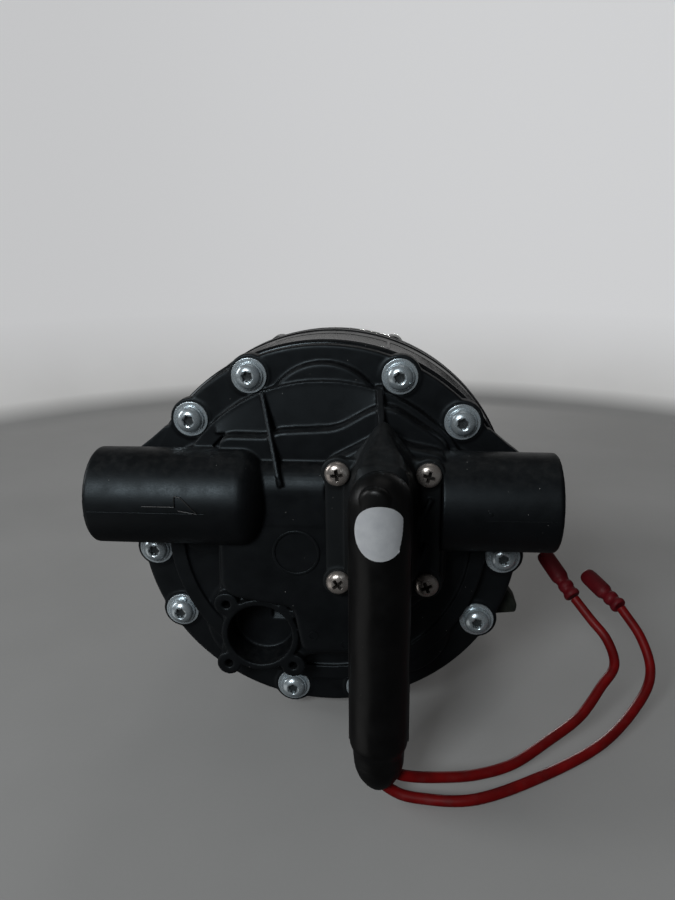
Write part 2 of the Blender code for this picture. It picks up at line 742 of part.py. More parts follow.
def make_switch_housing():
    half_x, half_z = 18.4, 23.2
    plate_span = (SWITCH_PLATE_FRONT_Y, SWITCH_PLATE_BACK_Y)
    x_span = (SWITCH_X - half_x, SWITCH_X + half_x)
    z_span = (SWITCH_Z - half_z, SWITCH_Z + half_z)
    housing = bevelled(head_box(x_span, plate_span, z_span), 0.8, 1)
    join(housing, make_tower())
    cut(
        housing,
        rod(8.2, -25, -15, SWITCH_X, SWITCH_Z, 20),
        rod(6.6, -40, -20, SWITCH_X, SWITCH_Z, 20),
    )
    for x, z in switch_screw_places():
        cut(housing, rod(1.8, -24, -15, x, z, 10))
        cut(housing, rod(4.8, -30, SWITCH_PLATE_FRONT_Y, x, z, 14))
    return housing


def make_switch_plunger():
    profile = [(0, -17.6), (7, -17.6), (7, -19.4), (2.2, -19.4), (2.2, -38.3), (0, -38.3)]
    return turned(profile, head(SWITCH_X, 0, SWITCH_Z), ALONG_Y, 14)


def make_pressure_set_screw():
    """Hollow screw round the plunger's stem, with two spanner slots in its front face."""
    screw = ring(6.2, 2.8, -36.5, -32, SWITCH_X, SWITCH_Z, 16)
    slot_x = (SWITCH_X - 8, SWITCH_X + 8)
    return cut(screw, head_box(slot_x, (-38, -35.6), (SWITCH_Z - 0.7, SWITCH_Z + 0.7)))


def make_switch_spring():
    turns, per_turn, wire_r, coil_r = 4, 10, 0.55, 4.6
    start, end = -19.4 - GAP - wire_r, -32 + GAP + wire_r
    count = turns * per_turn
    points = []
    for i in range(count + 1):
        angle = 2 * math.pi * i / per_turn
        x = SWITCH_X + coil_r * math.cos(angle)
        z = SWITCH_Z + coil_r * math.sin(angle)
        points.append((x, start + (end - start) * i / count, z))
    return swept(points, wire_r, 0)


MICRO_BACK_Y = -39.8
MICRO_BUTTON_HALF_X, MICRO_BUTTON_HALF_Z = 1.5, 1.0


def make_micro_switch():
    half_x, half_z, blade_half_x, blade_half_z = 3.2, 10.0, 1.5, 2.5
    x_span = (SWITCH_X - half_x, SWITCH_X + half_x)
    body = head_box(x_span, (-50, MICRO_BACK_Y), (SWITCH_Z - half_z, SWITCH_Z + half_z))
    for z in (SWITCH_Z - 11.5, SWITCH_Z + 6):
        blade_x = (SWITCH_X - blade_half_x, SWITCH_X + blade_half_x)
        join(body, head_box(blade_x, (-47, -46.4), (z - blade_half_z, z + blade_half_z)))
    hole_x = (SWITCH_X - MICRO_BUTTON_HALF_X - GAP, SWITCH_X + MICRO_BUTTON_HALF_X + GAP)
    hole_z = (SWITCH_Z - MICRO_BUTTON_HALF_Z - GAP, SWITCH_Z + MICRO_BUTTON_HALF_Z + GAP)
    button_hole = head_box(hole_x, (MICRO_BACK_Y - 2.6, MICRO_BACK_Y + 1), hole_z)
    return cut(body, button_hole)


def make_micro_switch_button():
    x_span = (SWITCH_X - MICRO_BUTTON_HALF_X, SWITCH_X + MICRO_BUTTON_HALF_X)
    z_span = (SWITCH_Z - MICRO_BUTTON_HALF_Z, SWITCH_Z + MICRO_BUTTON_HALF_Z)
    return head_box(x_span, (MICRO_BACK_Y - 1.5, -38.6), z_span)


def make_switch_hood():
    """Boot: a tube with a domed top, a tapered lower end cut at a slant and a window for the tower."""
    dome = 9.0
    inner = HOOD_R - HOOD_WALL
    steps = 5
    rise = HOOD_TOP_Z - dome
    arc = [math.pi / 2 * i / steps for i in range(steps + 1)]
    outside = [(HOOD_R * math.sin(a), rise + dome * math.cos(a)) for a in arc]
    outside += [(HOOD_R, -50), (8.5, -51.5), (7.6, -57), (6.2, HOOD_TIP_Z)]
    inside = [(4.9, HOOD_TIP_Z), (6.2, -57), (inner, -50), (inner, rise)]
    inside += [(inner * 0.7, rise + 5.6), (0, rise + 7.2)]
    boot = turned(outside + inside, head(SWITCH_X, HOOD_Y, 0), steps=20)
    window = head_box(
        (SWITCH_X - 6.9, SWITCH_X + 6.9), (-41.5, -33), (SWITCH_Z - 15, SWITCH_Z + 15)
    )
    slant = box((30, 30, 16), head(SWITCH_X + 10.3, HOOD_Y, -65.4), (0, math.radians(-45), 0))
    return cut(boot, window, slant)


def make_label():
    """Round sticker wrapped on the boot's front."""
    shell = turned(
        ring_profile(HOOD_R + 0.6, HOOD_R + GAP, 5, 40), head(SWITCH_X, HOOD_Y, 0), steps=48, loop=True
    )
    return keep(shell, rod(8, -60, HOOD_Y - 2, SWITCH_X + 0.2, 23, 28))


# Head-coordinate knots of the two leads, from the switch down the boot and out along the floor
WIRE_OUTER = [
    (18.45, -45, -6), (18.45, -45, -50), (19.6, -45, -61), (24.5, -44.5, -67.5), (33, -45, -69.8),
    (51, -44, -70), (74, -33, -68.6), (96, -19, -65.6), (112, -3, -60), (118, 6, -53),
    (116.5, 15, -44.5), (111, 24, -37),
]  # fmt: skip
WIRE_INNER = [
    (22.35, -45, -6), (22.35, -45, -47), (22.9, -45, -54.5), (25.4, -44.4, -60.8), (31, -42.6, -63.8),
    (41, -39.5, -66),
    (52, -36, -67.2), (64, -31, -66.5), (76, -22.5, -64), (89, -13, -60), (98, -4, -53.5),
    (104, 3, -49), (103, 11, -43.5), (98, 17, -38.3), (93, 23, -33),
]  # fmt: skip
TERMINAL_OUTER_END = (101, 41, -31)
TERMINAL_INNER_END = (83, 38, -21)


def make_terminal(start, end):
    """Insulated bullet terminal: a flared sleeve over the lead's end."""
    along = Vector(end) - Vector(start)
    length = along.length
    turn = along.to_track_quat("Z", "Y").to_euler()
    profile = [
        (0, 0.9), (2.3, 0.9), (3.1, 2), (2.9, 10), (3.3, 12), (3.3, length - 1), (2.8, length),
        (0, length),
    ]  # fmt: skip
    return turned(profile, head(*start), turn, 12)


# ---------------------------------------------------------------- assembly


def build_bodies(pump):
    tilt = math.radians(WOBBLE_TILT)
    pump.body("pump_body", (0, 0, 0))
    pump.body("rotor", head(0, WOBBLE_Y, 0), parent="pump_body")
    pump.body("wobble", head(0, WOBBLE_Y, 0), (tilt, 0, 0), parent="rotor")
    switch = head(SWITCH_X, TOWER_FRONT_Y, SWITCH_Z)
    for name in ("plunger", "set_screw", "switch_button"):
        pump.body(name, switch, parent="pump_body")


def build_head(pump):
    pump.add("head_cover", make_head_cover(), "housing")
    pump.add("cover_seal", ring(56.8, 54.85, 4.7, 6.0, steps=36), "rubber")
    pump.add("valve_plate", make_valve_plate(), "nylon")
    pump.add("outlet_valve", make_outlet_valve(), "valve")
    for index, angle in enumerate(chamber_angles(), 1):
        pump.add(f"inlet_valve_{index}", make_inlet_valve(angle), "valve")
    pump.add("diaphragm", make_diaphragm(), "valve")
    pump.add("drive_housing", make_drive_housing(), "housing")
    pump.add("motor_adapter", make_motor_adapter(), "housing")
    for index, angle in enumerate(bolt_angles(), 1):
        pump.add(f"cover_screw_{index:02d}", make_cover_screw(angle), "zinc")


def build_drive(pump):
    pump.add("motor_shaft", rod(SHAFT_R, 26, 173, steps=16), "steel", "rotor")
    pump.add("cam_hub", make_cam_hub(), "steel", "rotor")
    pump.add("armature", make_armature(), "steel", "rotor")
    pump.add("commutator", ring(12, SHAFT_R + GAP, 144, 160, steps=20), "copper", "rotor")
    bearing = tilted(ring_profile(17.5, 8.55, 28, 38), steps=24, loop=True)
    pump.add("wobble_bearing", bearing, "steel", "wobble")
    pump.add("wobble_plate", make_wobble_plate(), "nylon", "wobble")


def build_motor(pump):
    pump.add("front_bearing", ring(11, SHAFT_R + GAP, 42.3, 49.1, steps=24), "steel")
    pump.add("rear_bearing", ring(9.5, SHAFT_R + GAP, 167, 172, steps=20), "steel")
    pump.add("motor_can", make_motor_can(), "motor_paint")
    pump.add("rear_end_bell", make_rear_end_bell(), "motor_paint")
    for side, word in ((-1, "left"), (1, "right")):
        pump.add(f"magnet_{word}", make_magnet(side), "magnet")
        pump.add(f"brush_{word}", make_brush(side), "carbon")
    for side, word in ((1, "upper"), (-1, "lower")):
        pump.add(f"through_bolt_{word}", make_through_bolt(side), "zinc")


def build_base(pump):
    pump.add("base_plate", make_base_plate(), "housing")
    corners = [(-1, -1), (1, -1), (1, 1), (-1, 1)]
    for index, (side_x, side_y) in enumerate(corners, 1):
        pump.add(f"foot_{index}", make_foot(side_x * FOOT_X, side_y * FOOT_Y), "rubber")


def build_switch(pump):
    pump.add("switch_housing", make_switch_housing(), "housing")
    seal = rod(10, BLOCK_FRONT_Y + 0.1, BLOCK_FRONT_Y + 1.3, SWITCH_X, SWITCH_Z, 24)
    pump.add("switch_diaphragm", seal, "rubber")
    pump.add("switch_plunger", make_switch_plunger(), "nylon", "plunger")
    pump.add("switch_spring", make_switch_spring(), "steel", "plunger")
    pump.add("pressure_set_screw", make_pressure_set_screw(), "steel", "set_screw")
    pump.add("micro_switch", make_micro_switch(), "motor_paint")
    pump.add("micro_switch_button", make_micro_switch_button(), "nylon", "switch_button")
    pump.add("switch_hood", make_switch_hood(), "rubber")
    pump.add("label", make_label(), "paper")
    for index, (x, z) in enumerate(switch_screw_places(), 1):
        pump.add(f"switch_screw_{index}", make_switch_screw(x, z), "stainless")


def build_leads(pump):
    pump.add("wire_outer", swept(smooth_path(WIRE_OUTER, 2), WIRE_R), "wire")
    pump.add("wire_inner", swept(smooth_path(WIRE_INNER, 2), WIRE_R), "wire")
    pump.add("terminal_outer", make_terminal(WIRE_OUTER[-1], TERMINAL_OUTER_END), "terminal")
    pump.add("terminal_inner", make_terminal(WIRE_INNER[-1], TERMINAL_INNER_END), "terminal")


def main():
    clear_scene()
    pump = Assembly()
    build_bodies(pump)
    build_head(pump)
    build_drive(pump)
    build_motor(pump)
    build_base(pump)
    build_switch(pump)
    build_leads(pump)


main()
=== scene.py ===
"""The looks of a five-chamber diaphragm pump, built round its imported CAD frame. Blender 4.5.

Sizes below are millimetres. Head coordinates (x, y, z) start on the pump axis, in the plane that
the tops of the cover screws' washers share: x to the right, y backwards, z up.
"""

import math
import random

import bmesh
import bpy
from mathutils import Euler, Matrix, Vector


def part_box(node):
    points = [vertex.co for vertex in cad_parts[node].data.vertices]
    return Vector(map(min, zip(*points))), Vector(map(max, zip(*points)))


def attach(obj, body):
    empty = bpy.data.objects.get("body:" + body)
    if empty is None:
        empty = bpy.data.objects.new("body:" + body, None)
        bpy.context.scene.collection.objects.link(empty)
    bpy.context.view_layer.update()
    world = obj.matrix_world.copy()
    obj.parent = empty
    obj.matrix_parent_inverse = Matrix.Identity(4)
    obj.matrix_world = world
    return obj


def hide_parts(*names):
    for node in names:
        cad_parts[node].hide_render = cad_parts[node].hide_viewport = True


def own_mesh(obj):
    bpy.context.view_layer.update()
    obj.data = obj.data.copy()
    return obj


MM = 0.001
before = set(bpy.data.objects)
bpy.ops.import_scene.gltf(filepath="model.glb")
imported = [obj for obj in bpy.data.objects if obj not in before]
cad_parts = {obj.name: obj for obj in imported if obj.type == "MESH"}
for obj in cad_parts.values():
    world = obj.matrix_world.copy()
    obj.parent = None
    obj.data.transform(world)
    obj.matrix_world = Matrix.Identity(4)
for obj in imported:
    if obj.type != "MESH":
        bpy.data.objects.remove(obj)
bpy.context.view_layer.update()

# ---------------------------------------------------------------- sizes taken from the frame

SCREW_HEAD_HEIGHT = 3.6


def centre(node):
    low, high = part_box(node)
    return (low + high) / 2 / MM


AXIS = centre("motor_can")
HEAD_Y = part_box("cover_screw_01")[0].y / MM + SCREW_HEAD_HEIGHT


def head(x, y, z):
    """World position, in metres, of a point in head coordinates."""
    return Vector((x + AXIS.x, y + HEAD_Y, z + AXIS.z)) * MM


def span(node):
    """(lowest corner, highest corner) of a CAD node in head coordinates."""
    shift = Vector((AXIS.x, HEAD_Y, AXIS.z))
    low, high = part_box(node)
    return low / MM - shift, high / MM - shift


def middle(node):
    low, high = span(node)
    return (low + high) / 2


PORT_END_X = span("head_cover")[1].x
DRUM_FRONT_Y = span("drive_housing")[0].y
DRUM_BACK_Y = span("drive_housing")[1].y
DRUM_R = span("drive_housing")[1].z
CAN_R = span("motor_can")[1].x
CAN_FRONT_Y = span("motor_can")[0].y
CAN_BACK_Y = span("motor_can")[1].y
BELL_BACK_Y = span("rear_end_bell")[1].y
HOOD_R = (span("switch_hood")[1].x - span("switch_hood")[0].x) / 2
HOOD_X = middle("switch_hood").x
HOOD_TOP_Z = span("switch_hood")[1].z
HOOD_Y = span("switch_hood")[0].y + HOOD_R
SWITCH_X = middle("switch_plunger").x
PLATE_LOW, PLATE_HIGH = span("switch_housing")
FLOOR_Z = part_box("foot_1")[0].z

# ---------------------------------------------------------------- sizes of the moulded details

FLANGE_R = DRUM_R - 1.0
FLANGE_FRONT_Y = 1.0
RING_R, RING_WIDTH = 55.6, 5.4
BOLT_CIRCLE_R = 62.0
PAD_CIRCLE_R = 41.0
DECK_FRONT_Y = -10.0
BLOCK_FRONT_Y = -17.0
PLATE_FRONT_Y = -20.5
TOWER_FRONT_Y = -37.5
PORT_Y, PORT_Z = -10.0, 17.5
PORT_R, PORT_BORE_R = 16.25, 12.2
LEFT_PORT_TIP_X, RIGHT_PORT_ROOT_X = -17.0, 39.0
SPARE_X, SPARE_Z = -22.4, -33.1
SPARE_HOLE_HALF = 11.5
SPARE_BORE_R = 11.4
SPARE_FRONT_Y = -13.0
PASSAGE_TOP_Z, PASSAGE_SHOULDER_R = 30.4, 9.5
EMBED_Y = 2.3  # raised shapes on the head reach back to here, inside the flange
WIRE_R = 1.75
SWITCH_SCREWS = [f"switch_screw_{i}" for i in range(1, 5)]
SPARE_HOLES = [
    (SPARE_X + side_x * SPARE_HOLE_HALF, SPARE_Z + side_z * SPARE_HOLE_HALF)
    for side_x in (-1, 1)
    for side_z in (-1, 1)
]


# ---------------------------------------------------------------- mesh helpers


def add_object(mesh, place=(0, 0, 0), turn=(0, 0, 0)):
    obj = bpy.data.objects.new(mesh.name, mesh)
    obj.location = place
    obj.rotation_euler = Euler(turn)
    bpy.context.scene.collection.objects.link(obj)
    return obj


def from_bmesh(bm):
    bmesh.ops.recalc_face_normals(bm, faces=bm.faces)
    mesh = bpy.data.meshes.new("piece")
    bm.to_mesh(mesh)
    bm.free()
    return add_object(mesh)


def bake(obj):
    """Replaces the object's mesh by what its modifiers make of it."""
    graph = bpy.context.evaluated_depsgraph_get()
    mesh = bpy.data.meshes.new_from_object(obj.evaluated_get(graph))
    obj.modifiers.clear()
    obj.data = mesh
    return obj


def combine(target, operation, tools):
    for tool in tools:
        modifier = target.modifiers.new(operation, "BOOLEAN")
        modifier.operation = operation
        modifier.solver = "MANIFOLD"
        modifier.object = tool
        bake(target)
        bpy.data.objects.remove(tool)
    return target


def join(target, *tools):
    return combine(target, "UNION", tools)


def cut(target, *tools):
    return combine(target, "DIFFERENCE", tools)


def gather(target, *others):
    """Puts closed shells that need no union into one object."""
    bm = bmesh.new()
    for obj in (target, *others):
        mesh = obj.data.copy()
        mesh.transform(obj.matrix_basis)
        bm.from_mesh(mesh)
        bpy.data.meshes.remove(mesh)
    for obj in others:
        bpy.data.objects.remove(obj)
    bm.to_mesh(target.data)
    bm.free()
    target.matrix_basis = Matrix.Identity(4)
    return target


def rounded(points, radius, steps=3, cyclic=False):
    """The outline with each corner turned into a short curve."""
    points = [Vector(p) for p in points]
    count = len(points)
    result = []
    for i, corner in enumerate(points):
        if not cyclic and i in (0, count - 1):
            result.append(corner)
            continue
        before, after = points[i - 1], points[(i + 1) % count]
        back, ahead = before - corner, after - corner
        if radius <= 0 or min(back.length, ahead.length) < 1e-6:
            result.append(corner)
            continue
        start = corner + back * min(radius / back.length, 0.45)
        end = corner + ahead * min(radius / ahead.length, 0.45)
        for step in range(steps + 1):
            t = step / steps
            result.append(start * (1 - t) ** 2 + corner * 2 * t * (1 - t) + end * t**2)
    return [tuple(p) for p in result]


ALONG_X = (0, math.pi / 2, 0)
ALONG_Y = (-math.pi / 2, 0, 0)


def turned(profile, place, turn=(0, 0, 0), steps=48, loop=False):
    """Turns a profile of (radius, height) points about its height axis.
    A loop is a closed outline clear of the axis; any other profile starts and ends on the axis."""
    pairs = zip(profile, profile[1:] + profile[:1])
    area = sum(r0 * h1 - r1 * h0 for (r0, h0), (r1, h1) in pairs)
    points = profile if area < 0 else profile[::-1]
    edges = [(i, i + 1) for i in range(len(points) - 1)]
    if loop:
        edges.append((len(points) - 1, 0))
    mesh = bpy.data.meshes.new("turned")
    mesh.from_pydata([(r * MM, 0, h * MM) for r, h in points], edges, [])
    obj = add_object(mesh, place, turn)
    screw = obj.modifiers.new("turn", "SCREW")
    screw.steps = screw.render_steps = steps
    screw.use_merge_vertices = True
    screw.merge_threshold = 1e-7
    return bake(obj)


def disc(radius, low, high, edge=0.0):
    return rounded([(0, high), (radius, high), (radius, low), (0, low)], edge)


def band(outer, inner, low, high, edge=0.0):
    corners = [(inner, high), (outer, high), (outer, low), (inner, low)]
    return rounded(corners, edge, 3, True)


def rod(radius, low, high, x=0.0, z=0.0, steps=48, edge=0.0):
    """A cylinder along Y between two head-coordinate y values."""
    return turned(disc(radius, low, high, edge), head(x, 0, z), ALONG_Y, steps)


def rod_x(radius, low, high, y, z, steps=64, edge=0.0):
    return turned(disc(radius, low, high, edge), head(0, y, z), ALONG_X, steps)


def ring(outer, inner, low, high, x=0.0, z=0.0, steps=64, edge=0.0):
    return turned(band(outer, inner, low, high, edge), head(x, 0, z), ALONG_Y, steps, True)


def loft(*loops):
    """A closed shape through loops of world points, each with the same number of points."""
    bm = bmesh.new()
    rows = [[bm.verts.new(point) for point in loop] for loop in loops]
    bm.faces.new(rows[0])
    bm.faces.new(rows[-1])
    for low, high in zip(rows, rows[1:]):
        for i in range(len(low)):
            j = (i + 1) % len(low)
            bm.faces.new((low[i], low[j], high[j], high[i]))
    return from_bmesh(bm)


def plate(outline, low, high):
    """An outline of head (x, z) points between two y values."""
    return loft([head(x, low, z) for x, z in outline], [head(x, high, z) for x, z in outline])


def block(x, y, z):
    """A box between (low, high) pairs in head coordinates."""
    outline = [(x[0], z[0]), (x[1], z[0]), (x[1], z[1]), (x[0], z[1])]
    return plate(outline, *y)


def cuboid(x, y, z, turn=(0, 0, 0)):
    """A box between (low, high) pairs in world millimetres, turned about its middle."""
    bm = bmesh.new()
    bmesh.ops.create_cube(bm, size=1.0)
    size = Vector((x[1] - x[0], y[1] - y[0], z[1] - z[0])) * MM
    bmesh.ops.scale(bm, vec=size, verts=bm.verts)
    obj = from_bmesh(bm)
    obj.location = Vector((x[0] + x[1], y[0] + y[1], z[0] + z[1])) / 2 * MM
    obj.rotation_euler = Euler(turn)
    return obj


def web(profile, half_thickness, across):
    """A flat rib: head points round its outline, thickened both ways along across."""
    offset = Vector(across).normalized() * half_thickness * MM
    points = [head(*point) for point in profile]
    return loft([p - offset for p in points], [p + offset for p in points])


def bevelled(obj, width, segments=3, angle=35):
    modifier = obj.modifiers.new("bevel", "BEVEL")
    modifier.width = width * MM
    modifier.segments = segments
    modifier.limit_method = "ANGLE"
    modifier.angle_limit = math.radians(angle)
    return bake(obj)


def moulded(obj, voxel, rounds, share=1.0):
    """Melts the shapes of an object into one skin with softened edges and filled corners."""
    remesh = obj.modifiers.new("skin", "REMESH")
    remesh.mode = "VOXEL"
    remesh.voxel_size = voxel * MM
    smooth = obj.modifiers.new("soften", "SMOOTH")
    smooth.factor = 0.5
    smooth.iterations = rounds
    if share < 1:
        thin = obj.modifiers.new("thin", "DECIMATE")
        thin.ratio = share
    return bake(obj)


def swept(points, radius, sides=5):
    """A round bar along a path of world points."""
    curve = bpy.data.curves.new("path", "CURVE")
    curve.dimensions = "3D"
    curve.bevel_depth = radius * MM
    curve.bevel_resolution = sides
    curve.use_fill_caps = True
    spline = curve.splines.new("POLY")
    spline.points.add(len(points) - 1)
    for point, position in zip(spline.points, points):
        point.co = (*position, 1)
    guide = add_object(curve)
    graph = bpy.context.evaluated_depsgraph_get()
    mesh = bpy.data.meshes.new_from_object(guide.evaluated_get(graph))
    bpy.data.objects.remove(guide)
    bm = bmesh.new()
    bm.from_mesh(mesh)
    bpy.data.meshes.remove(mesh)
    bmesh.ops.remove_doubles(bm, verts=bm.verts, dist=1e-7)
    return from_bmesh(bm)


def smooth_path(knots, per_span):
    """Catmull-Rom points through the knots."""
    ends = [2 * Vector(knots[0]) - Vector(knots[1]), 2 * Vector(knots[-1]) - Vector(knots[-2])]
    points = [ends[0], *map(Vector, knots), ends[1]]
    path = []
    for a, b, c, d in zip(points, points[1:], points[2:], points[3:]):
        for step in range(per_span):
            t = step / per_span
            path.append(
                0.5 * (2 * b + (c - a) * t + (2 * a - 5 * b + 4 * c - d) * t**2)
                + 0.5 * (3 * b - 3 * c + d - a) * t**3
            )
    return [*path, points[-2]]


def on_circle(radius, degrees):
    """(x, z) at an angle clockwise from the top, as seen from the front."""
    angle = math.radians(degrees)
    return radius * math.sin(angle), radius * math.cos(angle)


def bolt_angles():
    """The ten cover screws stand in five pairs, either side of the gaps between chambers."""
    for pair in range(5):
        between = 36 + 72 * pair
        yield from (between - 12, between + 12)


def chamber_angles():
    return [72 * i for i in range(5)]


def finished(obj, name, material, *replaced, smooth=40, body="pump_body"):
    """Names a finished piece, gives it its material, hangs it on its body and hides the CAD nodes it
    stands for."""
    obj.name = name
    obj.data.name = name
    obj.data.materials.clear()
    obj.data.materials.append(material)
    obj.data.shade_smooth()
    if smooth < 180:
        obj.data.set_sharp_from_angle(angle=math.radians(smooth))
    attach(obj, body)
    if replaced:
        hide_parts(*replaced)
    return obj


# ---------------------------------------------------------------- materials


class Finish:
    """A Principled material, with short ways to add procedural detail measured in millimetres."""

    def __init__(self, name, metallic=0.0, coat=0.0, specular=0.5, sheen=(1, 1, 1)):
        self.material = bpy.data.materials.new(name)
        self.material.use_nodes = True
        self.tree = self.material.node_tree
        self.shader = self.tree.nodes["Principled BSDF"]
        self.shader.inputs["Metallic"].default_value = metallic
        self.shader.inputs["Coat Weight"].default_value = coat
        self.shader.inputs["Specular IOR Level"].default_value = specular
        self.shader.inputs["Specular Tint"].default_value = (*sheen, 1)
        coordinates = self.tree.nodes.new("ShaderNodeTexCoord")
        scale = self.tree.nodes.new("ShaderNodeVectorMath")
        scale.operation = "SCALE"
        scale.inputs["Scale"].default_value = 1 / MM
        self.tree.links.new(coordinates.outputs["Object"], scale.inputs[0])
        self.point = scale.outputs[0]

    def put(self, value, socket):
        if isinstance(value, bpy.types.NodeSocket):
            self.tree.links.new(value, socket)
        elif isinstance(value, tuple) and len(value) == 3 and socket.type == "RGBA":
            socket.default_value = (*value, 1)
        else:
            socket.default_value = value

    def noise(self, size, detail=4.0, stretch=(1, 1, 1), contrast=0.5):
        """Cloudy values from 0 to 1 whose patches are about this many millimetres across."""
        place = self.tree.nodes.new("ShaderNodeVectorMath")
        place.operation = "MULTIPLY"
        place.inputs[1].default_value = stretch
        self.put(self.point, place.inputs[0])
        node = self.tree.nodes.new("ShaderNodeTexNoise")
        node.inputs["Scale"].default_value = 1 / size
        node.inputs["Detail"].default_value = detail
        node.inputs["Roughness"].default_value = contrast
        self.put(place.outputs[0], node.inputs["Vector"])
        return node.outputs["Fac"]

    def cells(self, size):
        """Distance to the nearest of many scattered points, in cell widths."""
        node = self.tree.nodes.new("ShaderNodeTexVoronoi")
        node.inputs["Scale"].default_value = 1 / size
        self.put(self.point, node.inputs["Vector"])
        return node.outputs["Distance"]

    def remap(self, value, low, high, to_low=0.0, to_high=1.0):
        node = self.tree.nodes.new("ShaderNodeMapRange")
        for socket, number in zip(node.inputs[1:5], (low, high, to_low, to_high)):
            socket.default_value = number
        self.put(value, node.inputs[0])
        return node.outputs[0]

    def math(self, operation, first, second=0.0):
        node = self.tree.nodes.new("ShaderNodeMath")
        node.operation = operation
        self.put(first, node.inputs[0])
        self.put(second, node.inputs[1])
        return node.outputs[0]

    def times(self, first, second):
        return self.math("MULTIPLY", first, second)

    def plus(self, first, second):
        return self.math("ADD", first, second)

    def spread(self, value, low, high):
        """A noise's usual range of 0.3 to 0.7, stretched from low to high."""
        return self.remap(value, 0.3, 0.7, low, high)

    def mottled(self, value, first, second):
        """Soft patches of two colours."""
        return self.mix(self.remap(value, 0.35, 0.7), first, second)

    def mix(self, factor, first, second):
        node = self.tree.nodes.new("ShaderNodeMix")
        node.data_type = "RGBA"
        self.put(factor, node.inputs[0])
        self.put(first, node.inputs[6])
        self.put(second, node.inputs[7])
        return node.outputs[2]

    def geometry(self, output):
        return self.tree.nodes.new("ShaderNodeNewGeometry").outputs[output]

    def facing_up(self):
        node = self.tree.nodes.new("ShaderNodeSeparateXYZ")
        self.put(self.geometry("Normal"), node.inputs[0])
        return node.outputs["Z"]

    def edges(self, low=0.53, high=0.62):
        """1 on outward edges, 0 elsewhere."""
        return self.remap(self.geometry("Pointiness"), low, high)

    def finish(self, color, roughness, height=None, depth=0.02):
        self.put(color, self.shader.inputs["Base Color"])
        self.put(roughness, self.shader.inputs["Roughness"])
        if height is not None:
            bump = self.tree.nodes.new("ShaderNodeBump")
            bump.inputs["Strength"].default_value = 1.0
            bump.inputs["Distance"].default_value = depth * MM
            self.put(height, bump.inputs["Height"])
            self.put(bump.outputs["Normal"], self.shader.inputs["Normal"])
        return self.material


def tinted(color, factor):
    return tuple(min(1.0, channel * factor) for channel in color)


def plastic(name, color, roughness, grain=0.5, depth=0.012, dust=1.0, wear=1.3):
    """Moulded plastic: flow marks, a fine grain, worn edges, and dust where it can settle."""
    f = Finish(name, specular=0.33, sheen=(0.80, 0.93, 1.0))
    clouds = f.noise(14, 5)
    flow = f.noise(5, 3, (1, 1, 0.25))
    fine = f.noise(grain, 3)
    body = f.mix(f.remap(clouds, 0.35, 0.68), tinted(color, 0.8), tinted(color, 1.35))
    body = f.mix(f.times(f.edges(), 0.7), body, tinted(color, wear))
    specks = f.times(f.remap(f.cells(3.1), 0.055, 0.03), f.remap(clouds, 0.5, 0.58))
    film = f.times(f.remap(f.facing_up(), 0.3, 1.0), f.remap(f.noise(2.4, 6), 0.42, 0.75, 0, 0.035))
    settled = f.times(f.math("MAXIMUM", f.times(specks, 0.7), film), dust)
    body = f.mix(settled, body, (0.42, 0.41, 0.39))
    rough = f.plus(f.spread(flow, roughness - 0.05, roughness + 0.06), f.spread(fine, -0.04, 0.04))
    rough = f.plus(rough, f.times(settled, 0.5))
    height = f.plus(fine, f.times(flow, 0.8))
    return f.finish(body, rough, height, depth)


def rubber(name, color, roughness):
    """Soft black rubber: a pale bloom in clouds, rubbed smoother in places."""
    f = Finish(name, specular=0.4)
    clouds = f.noise(9, 6)
    fine = f.noise(0.35, 2)
    body = f.mix(f.remap(clouds, 0.4, 0.75), tinted(color, 0.75), tinted(color, 1.7))
    body = f.mix(f.times(f.edges(), 0.5), body, tinted(color, 2.4))
    specks = f.remap(f.cells(2.6), 0.05, 0.03)
    body = f.mix(f.times(specks, f.remap(clouds, 0.52, 0.6, 0, 0.5)), body, (0.35, 0.34, 0.33))
    rough = f.remap(clouds, 0.35, 0.7, roughness - 0.07, roughness + 0.08)
    return f.finish(body, rough, fine, 0.01)


def plated(name, color, tint, roughness, depth=0.006, metallic=0.66, recess=None):
    """Bright plated steel: a faint colour cast, fine drawing lines, dull patches, and painted shade in
    its hollows and its recess, whose shape is "cross" or "star"."""
    f = Finish(name, metallic)
    clouds = f.noise(2.2, 4)
    lines = f.noise(0.25, 2, (1, 1, 0.12))
    body = f.mottled(clouds, color, tint)
    # Painted shade: the colour darkens where the surface is hollow.
    body = f.mix(f.remap(f.geometry("Pointiness"), 0.485, 0.42), body, tinted(color, 0.12))
    if recess:
        axes = f.tree.nodes.new("ShaderNodeSeparateXYZ")
        f.put(f.point, axes.inputs[0])
        aside = [f.math("ABSOLUTE", axes.outputs[axis]) for axis in ("X", "Y")]
        if recess == "cross":
            narrow = f.remap(f.math("MINIMUM", *aside), 0.62, 0.48)
            recess_shade = f.times(narrow, f.remap(f.math("MAXIMUM", *aside), 2.1, 1.8))
        else:
            squares = [f.math("POWER", distance, 2.0) for distance in aside]
            recess_shade = f.remap(f.plus(*squares), 3.4, 2.4)
        # Painted shade filling the screw's cross or star recess.
        body = f.mix(f.times(recess_shade, 0.9), body, tinted(color, 0.06))
    rough = f.plus(f.spread(clouds, roughness - 0.06, roughness + 0.1), f.spread(lines, -0.03, 0.05))
    return f.finish(body, rough, lines, depth)


def bare_metal(name, color, roughness, stretch):
    """Machined metal with turning or drawing lines."""
    f = Finish(name, metallic=1.0)
    lines = f.noise(0.5, 3, stretch)
    clouds = f.noise(6, 4)
    body = f.mottled(clouds, tinted(color, 0.8), color)
    return f.finish(body, f.spread(lines, roughness - 0.08, roughness + 0.1), lines, 0.01)


